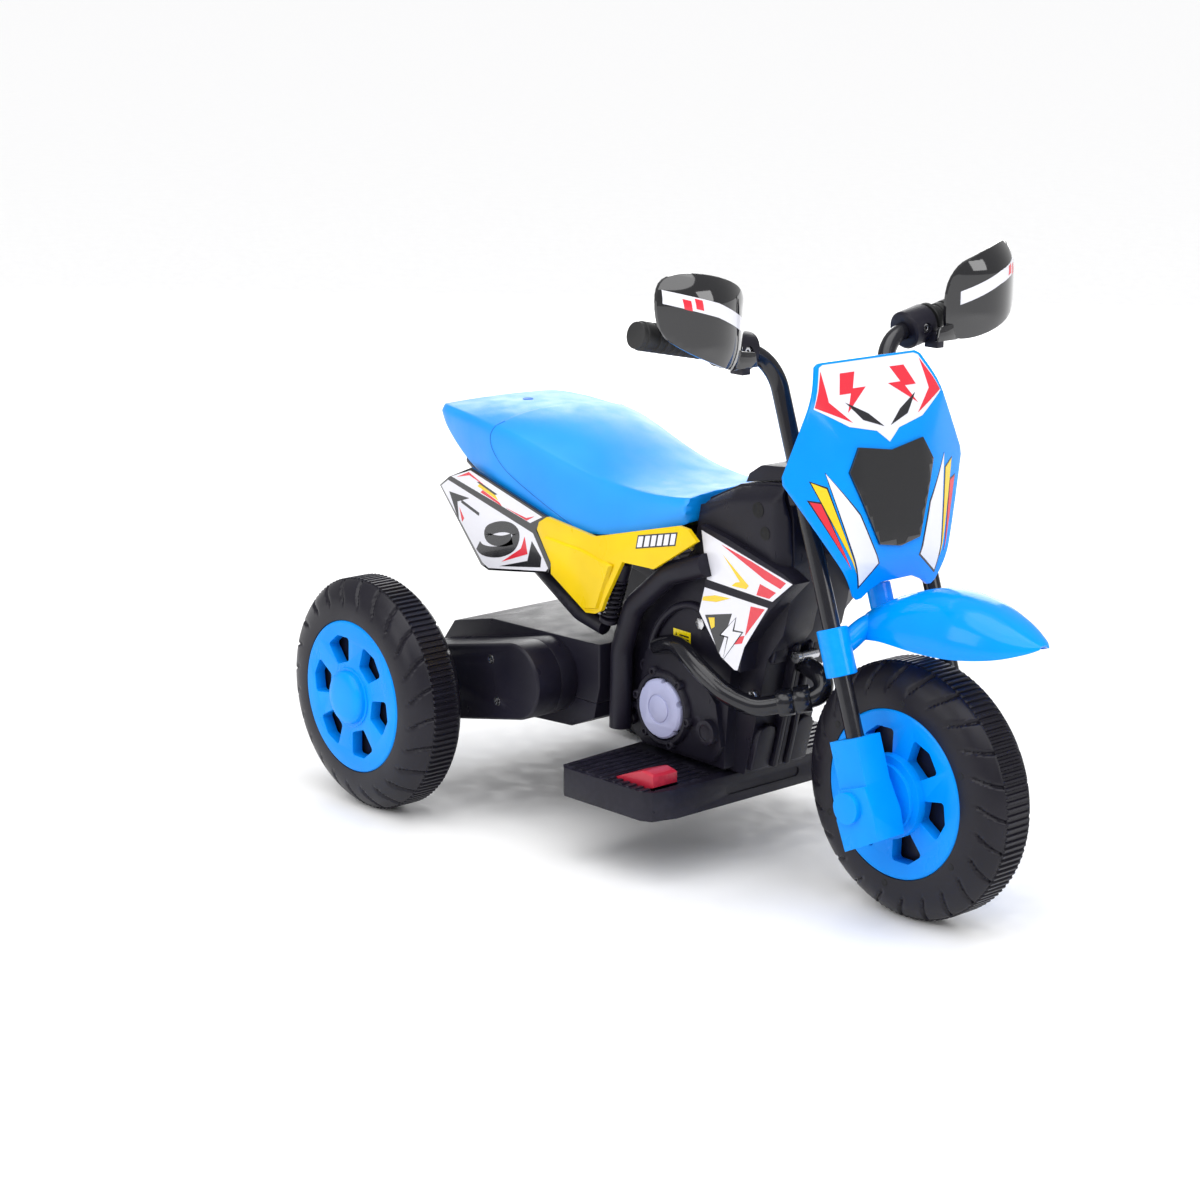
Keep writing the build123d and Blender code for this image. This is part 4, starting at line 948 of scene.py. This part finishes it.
PLATE_FILMS = [
    ("main", white_film, 0, [(-300, 315), (-288.5, 322.5), (-153.5, 290), (-130.5, 259), (-134, 255.5),
                             (-224, 242.8), (-234, 247)]),
    ("top", white_film, 0, [(-283, 327), (-251.5, 337.5), (-139, 308.3), (-157.5, 299.5)]),
    ("hook_left", black_film, 1, [(-286.5, 311), (-253.5, 309), (-273.5, 302.5), (-271, 282.5)]),
    ("claw_left", red_film, 1, [(-270, 297), (-266, 283), (-262.5, 287)]),
    ("claw_right", red_film, 1, [(-203, 252.8), (-172, 271.5), (-166, 284.5), (-161.8, 267.8)]),
    ("hook_right", black_film, 1, [(-206.5, 247.8), (-162, 261), (-155, 281.8), (-140.5, 268), (-142, 258)]),
    ("bar_black", black_film, 1, [(-241, 327.5), (-237, 328.2), (-208.5, 320), (-212.5, 318.8)]),
    ("bar_yellow", yellow_film, 1, [(-240, 323.4), (-236.5, 326.6), (-211.5, 318.6), (-207, 313.8)]),
    ("bar_red", red_film, 1, [(-235.5, 318), (-231.5, 320.6), (-205.5, 312.4), (-201.5, 309.2)]),
    ("line_left", red_film, 1, [(-273.5, 327.8), (-254, 335.6), (-228, 325.5), (-253, 332.5)]),
    ("line_right", red_film, 1, [(-195, 308.5), (-163.5, 303.5), (-150.5, 307.3), (-162.5, 301)]),
    ("name_bar", black_film, 1, [(-267, 302.5), (-266.5, 305.5), (-237.5, 296.5), (-238.5, 293.5)]),
]
for name, material, level, corners in PLATE_FILMS:
    side_film("plate_film_" + name, corners, on_plate, material, level)
# the digit nine, as (across, up) shares of its slanted box
NINE = [(0.04, 0.24), (0.16, 0.12), (0.38, 0.08), (0.62, 0.14), (0.82, 0.32), (0.88, 0.56), (0.84, 0.78),
        (0.66, 0.90), (0.42, 0.88), (0.22, 0.74), (0.22, 0.56), (0.36, 0.46), (0.60, 0.46), (0.80, 0.56)]
nine_line = through([Vector((a, b, 0)) for a, b in NINE], 4)
for side, hand in SIDES:
    # the digit reads the right way round on both sides
    shares = [(p.x if side < 0 else 1 - p.x, p.y) for p in nine_line]
    nine_path = [(-246 + 66 * u + 13 * v, 255 + 6 * u + 34 * v) for u, v in shares]
    digit = stroke("plate_digit_" + hand, nine_path, 11.0, on_plate(side), film_lift(1), FILM)
    settle(digit, "chassis", black_film, 60)

BOLT = [(98, 248), (79, 229), (89, 229), (82, 206), (106, 236), (94, 235)]
SHROUD_FILMS = [
    ("upper", white_film, 0, [(51, 322.5), (170, 293), (145, 272.5), (59, 277.5)]),
    ("stripe", red_film, 1, [(78, 313.5), (118, 304.5), (162, 292.5), (155, 286), (135, 291)]),
    ("arrow", yellow_film, 1, [(80.5, 304), (114.5, 281.5), (111, 277.8), (92, 277.4), (97, 281.5),
                               (103, 283)]),
    ("block", red_film, 1, [(129, 286), (149.5, 281.5), (141, 274.5), (124.5, 274.8)]),
    ("lower", white_film, 0, [(56, 269.5), (139.5, 265.5), (109.5, 223), (101, 199.5), (97, 199), (79, 208),
                              (49, 245)]),
    ("dash", yellow_film, 1, [(53, 256.5), (72, 258.5), (91, 265.5), (70, 264.5), (54.5, 260.5)]),
    ("wedge", red_film, 1, [(117.5, 263), (135.5, 263.5), (110.5, 234)]),
    ("fang", black_film, 1, [(57, 243.5), (93, 251.5), (88, 239), (76, 210)]),
    ("spot", yellow_film, 2, [(62, 242), (70, 243.5), (70.5, 235), (66, 232)]),
    ("tick", red_film, 1, [(97, 230), (110, 234), (106.5, 226), (96, 223)]),
    ("bolt_edge", black_film, 1, grown(BOLT, 1.5)),
    ("bolt", white_film, 2, BOLT),
]
for name, material, level, corners in SHROUD_FILMS:
    side_film("shroud_film_" + name, corners, on_shroud, material, level)

side_film("body_label", [(4.8, 219.5), (28.8, 219), (28.9, 205.5), (4.9, 206.5)], on_body, label_yellow,
          0)
side_film("body_label_bolt", [(8.5, 216.5), (10.5, 213), (9.2, 213), (11, 209), (7.2, 213.6), (8.4, 213.8)],
          on_body, black_film, 1)
for row in range(3):
    z = 215.2 - 3.2 * row
    line = [(13.5, z), (26.5, z - 0.2), (26.5, z - 1.6), (13.5, z - 1.4)]
    side_film(f"body_label_row_{row}", line, on_body, black_film, 1)

for bar in range(6):
    x, z = -10 + 7.4 * bar, 299.5 + 1.5 * bar
    block = [(x, z), (x + 5.2, z + 1), (x + 7.2, z + 11.5), (x + 2, z + 10.5)]
    side_film(f"panel_bar_edge_{bar}", grown(block, 1.3), on_side_panel, black_film, 0)
    side_film(f"panel_bar_{bar}", block, on_side_panel, white_film, 1)

# ---- engine relief moulded into the body ----
ENGINE_Y = 56.0
CLUTCH = (-0.5, 141)
ARCH_RIB = [(-27, 165), (-25, 188), (-20, 208), (-8, 226), (11, 241), (32, 247), (50, 244)]
CASE_ARCH = [(-56, 112), (-54, 128), (-44, 133), (-34, 126), (-24, 114), (-14, 105)]
KICK = [(36, 182), (48, 178), (58, 160), (50, 152), (45, 138), (52, 122), (36, 116)]
for side, hand in SIDES:
    relief = []
    centre = (CLUTCH[0], side * (ENGINE_Y - 2), CLUTCH[1])
    ring = [(30.2, 0), (30.2, 5.6), (31.2, 6.8), (34.6, 6.8), (36.4, 5.2), (37.5, 0)]
    relief.append(lathe("ring", ring, centre, (0, side, 0), 72))
    for boss in range(6):
        angle = math.radians(50 + 60 * boss)
        x = CLUTCH[0] + 36 * math.cos(angle)
        z = CLUTCH[1] + 36 * math.sin(angle)
        stud = [(4.6, 0), (4.6, 6.8), (3.8, 7.8), (2.2, 7.8), (1.9, 5.8), (0, 5.8)]
        relief.append(lathe("stud", stud, (x, side * (ENGINE_Y - 2), z), (0, side, 0), 20))
    for path, thick in ((ARCH_RIB, 3.6), (CASE_ARCH, 4.2), (KICK, 3.4)):
        line = [(p.x, side * (BODY_Y + 2.2), p.z) for p in through([(x, 0, z) for x, z in path], 6)]
        relief.append(tube("rib", line, thick, 14))
    for x, z, radius in ((-31, 176, 7), (56, 168, 7.5), (47, 146, 6.5), (-52, 118, 6)):
        boss = [(radius, 0), (radius, 5), (radius - 1.2, 6.2), (radius - 3, 6.2), (radius - 3.4, 5), (0, 5)]
        relief.append(lathe("boss", boss, (x, side * (BODY_Y - 1), z), (0, side, 0), 28))
    casing = join(relief, "engine_relief_" + hand)
    settle(casing, "chassis", black, 40)


def front_block(low_y, high_y, low_z, high_z, round_top, proud):
    """A rounded upright block on the sloping front of the engine."""
    def place(y, z, out):
        x = 91 + (z - 93) * 0.26 if z < 140 else 103.2 + (z - 140) * 0.22
        return (x + out, y, z)
    corners = [(low_y, low_z), (high_y, low_z), (high_y, high_z - round_top)]
    corners += [(high_y - round_top * 0.3, high_z - round_top * 0.3), (high_y - round_top, high_z)]
    corners += [(low_y + round_top, high_z), (low_y + round_top * 0.3, high_z - round_top * 0.3)]
    corners += [(low_y, high_z - round_top)]
    block = draped("front_block", corners, place, 40.0, -2.0, proud + 2.0)
    rounded(block, 1.6, 3, 40)
    return apply_modifiers(block)


front = [
    front_block(-36, -13, 97, 142, 9, 6),
    front_block(13, 36, 97, 142, 9, 6),
    front_block(-11, -5.5, 97, 222, 2, 10),
    front_block(-3.5, 3.5, 97, 212, 2, 7),
    front_block(5.5, 11, 97, 222, 2, 10),
    front_block(-34, -16, 205, 236, 6, 5),
    front_block(16, 34, 205, 236, 6, 5),
]
engine_front = join(front, "engine_front")
settle(engine_front, "chassis", black, 40)
rings = [(3.6, 0), (4.4, 0.6), (4.4, 21), (3.4, 21.6), (3.4, 24), (5.4, 24), (5.4, 28), (0, 28)]
sleeve = lathe("engine_sleeve", rings, (131, 14, 210), (0, -1, 0), 24)
settle(sleeve, "chassis", steel, 40)

# ---- the tank's smooth sides ----
TANK_RIDGE = [(30, 343), (41, 349), (82, 368), (122, 375), (152, 378)]
TANK = [(31, 285), (38, 320), (41, 346), (60, 355.5), (82, 365), (102, 370), (122, 373), (141, 375)]
TANK += [(148, 345), (150.5, 306), (147, 285)]


def ridge_height(x):
    """The height of the tank's top edge."""
    for (x0, z0), (x1, z1) in zip(TANK_RIDGE, TANK_RIDGE[1:]):
        if x <= x1:
            return z0 + (z1 - z0) * (x - x0) / (x1 - x0)
    return TANK_RIDGE[-1][1]


def on_tank(side):
    """The tank's flank, drawn in softly to the nose and the top."""
    def place(x, z, out):
        front = min(1.0, max(0.0, (x - 136) / 15))
        below = max(0.0, ridge_height(x) - z)
        top = max(0.0, 1 - below / 16)
        y = 50.9 - 12.0 * front ** 1.5
        y -= (y - 37.5) * top ** 1.8 if y > 37.5 else 0.0
        return (x, side * (y + out), z)
    return place


for side, hand in SIDES:
    skin = draped("tank_skin_" + hand, TANK, on_tank(side), 3.0, -3.0, 3.0)
    rounded(skin, 0.8, 2, 50)
    apply_modifiers(skin)
    settle(skin, "chassis", black, 50)
    # Each tank screw well is a shallow near-black cup: painted shade of the hole.
    for number, (x, z, radius) in enumerate(((117.5, 351, 6.2), (127, 331, 5.2))):
        middle = Vector(on_tank(side)(x, z, 0))
        out_way = (middle - Vector(on_tank(side)(x, z, -5))).normalized()
        cup = [(radius + 1.2, -0.6), (radius + 0.9, 0.5), (radius, 0.6), (radius - 0.7, 0.2), (0, 0.1)]
        well = lathe(f"tank_screw_well_{hand}_{number}", cup, middle, out_way, 32)
        settle(well, "chassis", recess_shade_black, 40)

# ---- screw well in the seat's tail, a darker blue dish: painted shade of the recess ----
rings = [(5.6, 0), (5.2, 0.5), (4.6, 0.35), (0, 0.15)]
well = lathe("seat_screw_well", rings, (-273, 0, 396.9), (0, 0, 1), 32)
settle(well, "chassis", seam_and_shade_blue, 40)


# ---- shock absorbers ----
SHOCK_TOP = Vector((-41, -73, 279))
SHOCK_FOOT = Vector((-63, -73, 216))
parts = []
for side in (-1, 1):
    # the places above are the right one's
    flip = Vector((1, -side, 1))
    top, foot = SHOCK_TOP * flip, SHOCK_FOOT * flip
    axis = top - foot
    length = axis.length
    body = [(4.5, 0), (4.5, length - 18), (9.4, length - 17), (9.6, length - 4), (8.6, length)]
    parts.append(lathe("shock_body", body, foot, axis, 32))
    parts.append(lathe("shock_foot", [(6.5, 0), (9.2, 1), (9.2, 5), (6, 6.5)], foot, axis, 32))
    side_way = axis.orthogonal().normalized()
    up_way = axis.normalized().cross(side_way)
    coil = []
    turns, around = 8, 20
    for step in range(turns * around + 1):
        angle = 2 * math.pi * step / around
        reach = 6 + (length - 24) * step / (turns * around)
        coil.append(foot + axis.normalized() * reach
                    + (side_way * math.cos(angle) + up_way * math.sin(angle)) * 8.4)
    parts.append(tube("coil", coil, 1.5, 10))
shocks = join(parts, "shock_absorbers_shown")
settle(shocks, "chassis", black, 40)
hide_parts("shock_absorbers")


# ---- camera, light and floor ----
def area_light(name, place, aim, size, power):
    """A soft square light aimed at a point."""
    lamp = bpy.data.lights.new(name, "AREA")
    lamp.shape = "SQUARE"
    lamp.size = size
    lamp.energy = power
    obj = bpy.data.objects.new(name, lamp)
    bpy.context.scene.collection.objects.link(obj)
    obj.location = place
    obj.rotation_euler = (Vector(aim) - Vector(place)).to_track_quat("-Z", "Y").to_euler()
    return obj


def set_floor():
    """A plain pale floor, so wide that its far edge isn't seen."""
    corner = 90.0
    mesh = bpy.data.meshes.new("floor")
    mesh.from_pydata([(-corner, -corner, 0), (corner, -corner, 0), (corner, corner, 0), (-corner, corner, 0)],
                     [], [(0, 1, 2, 3)])
    floor = bpy.data.objects.new("floor", mesh)
    floor.location.z = -0.0004
    bpy.context.scene.collection.objects.link(floor)
    paint = plastic("floor_paint", (0.95, 0.95, 0.955), 0.6, drift=0.008, edge=1.0)
    mesh.materials.append(paint)


def set_surround():
    """An even white surround, which lights less than it shows."""
    world = bpy.data.worlds.new("studio")
    world.use_nodes = True
    nodes, links = world.node_tree.nodes, world.node_tree.links
    seen = nodes.new("ShaderNodeLightPath")
    level = between(nodes, links, seen.outputs["Is Camera Ray"], 0.42, 1.0, 0.0, 1.0)
    nodes["Background"].inputs["Color"].default_value = (1, 1, 1, 1)
    links.new(level, nodes["Background"].inputs["Strength"])
    bpy.context.scene.world = world


def set_lights():
    """Soft studio light: a wide overhead sun and four soft squares."""
    sun = bpy.data.lights.new("overhead", "SUN")
    sun.energy = 2.35
    sun.angle = math.radians(70)
    overhead = bpy.data.objects.new("overhead", sun)
    overhead.rotation_euler = Euler((math.radians(18), math.radians(14), 0))
    bpy.context.scene.collection.objects.link(overhead)
    area_light("top_soft", (0.2, -0.1, 2.6), (0, 0, 0.2), 1.6, 5)
    back = area_light("back_soft", (-2.4, 2.7, 1.5), (0, 0, 0.2), 2.2, 45)
    back.visible_camera = False
    area_light("front_soft", (2.6, 0.4, 1.5), (0.1, 0, 0.3), 1.2, 16)
    area_light("side_soft", (-0.6, -2.8, 1.3), (0, 0, 0.25), 1.4, 16)


def set_camera():
    """The camera, ahead of the trike and to its right."""
    lens = bpy.data.cameras.new("camera")
    lens.lens = 76.59
    lens.sensor_width = 36.0
    camera = bpy.data.objects.new("camera", lens)
    camera.location = (1.7293, -1.6162, 0.8252)
    camera.rotation_euler = Euler((math.radians(76.04), 0, math.radians(49.46)))
    bpy.context.scene.collection.objects.link(camera)
    bpy.context.scene.camera = camera


set_floor()
set_surround()
set_lights()
set_camera()
bpy.context.scene.view_settings.view_transform = "Standard"
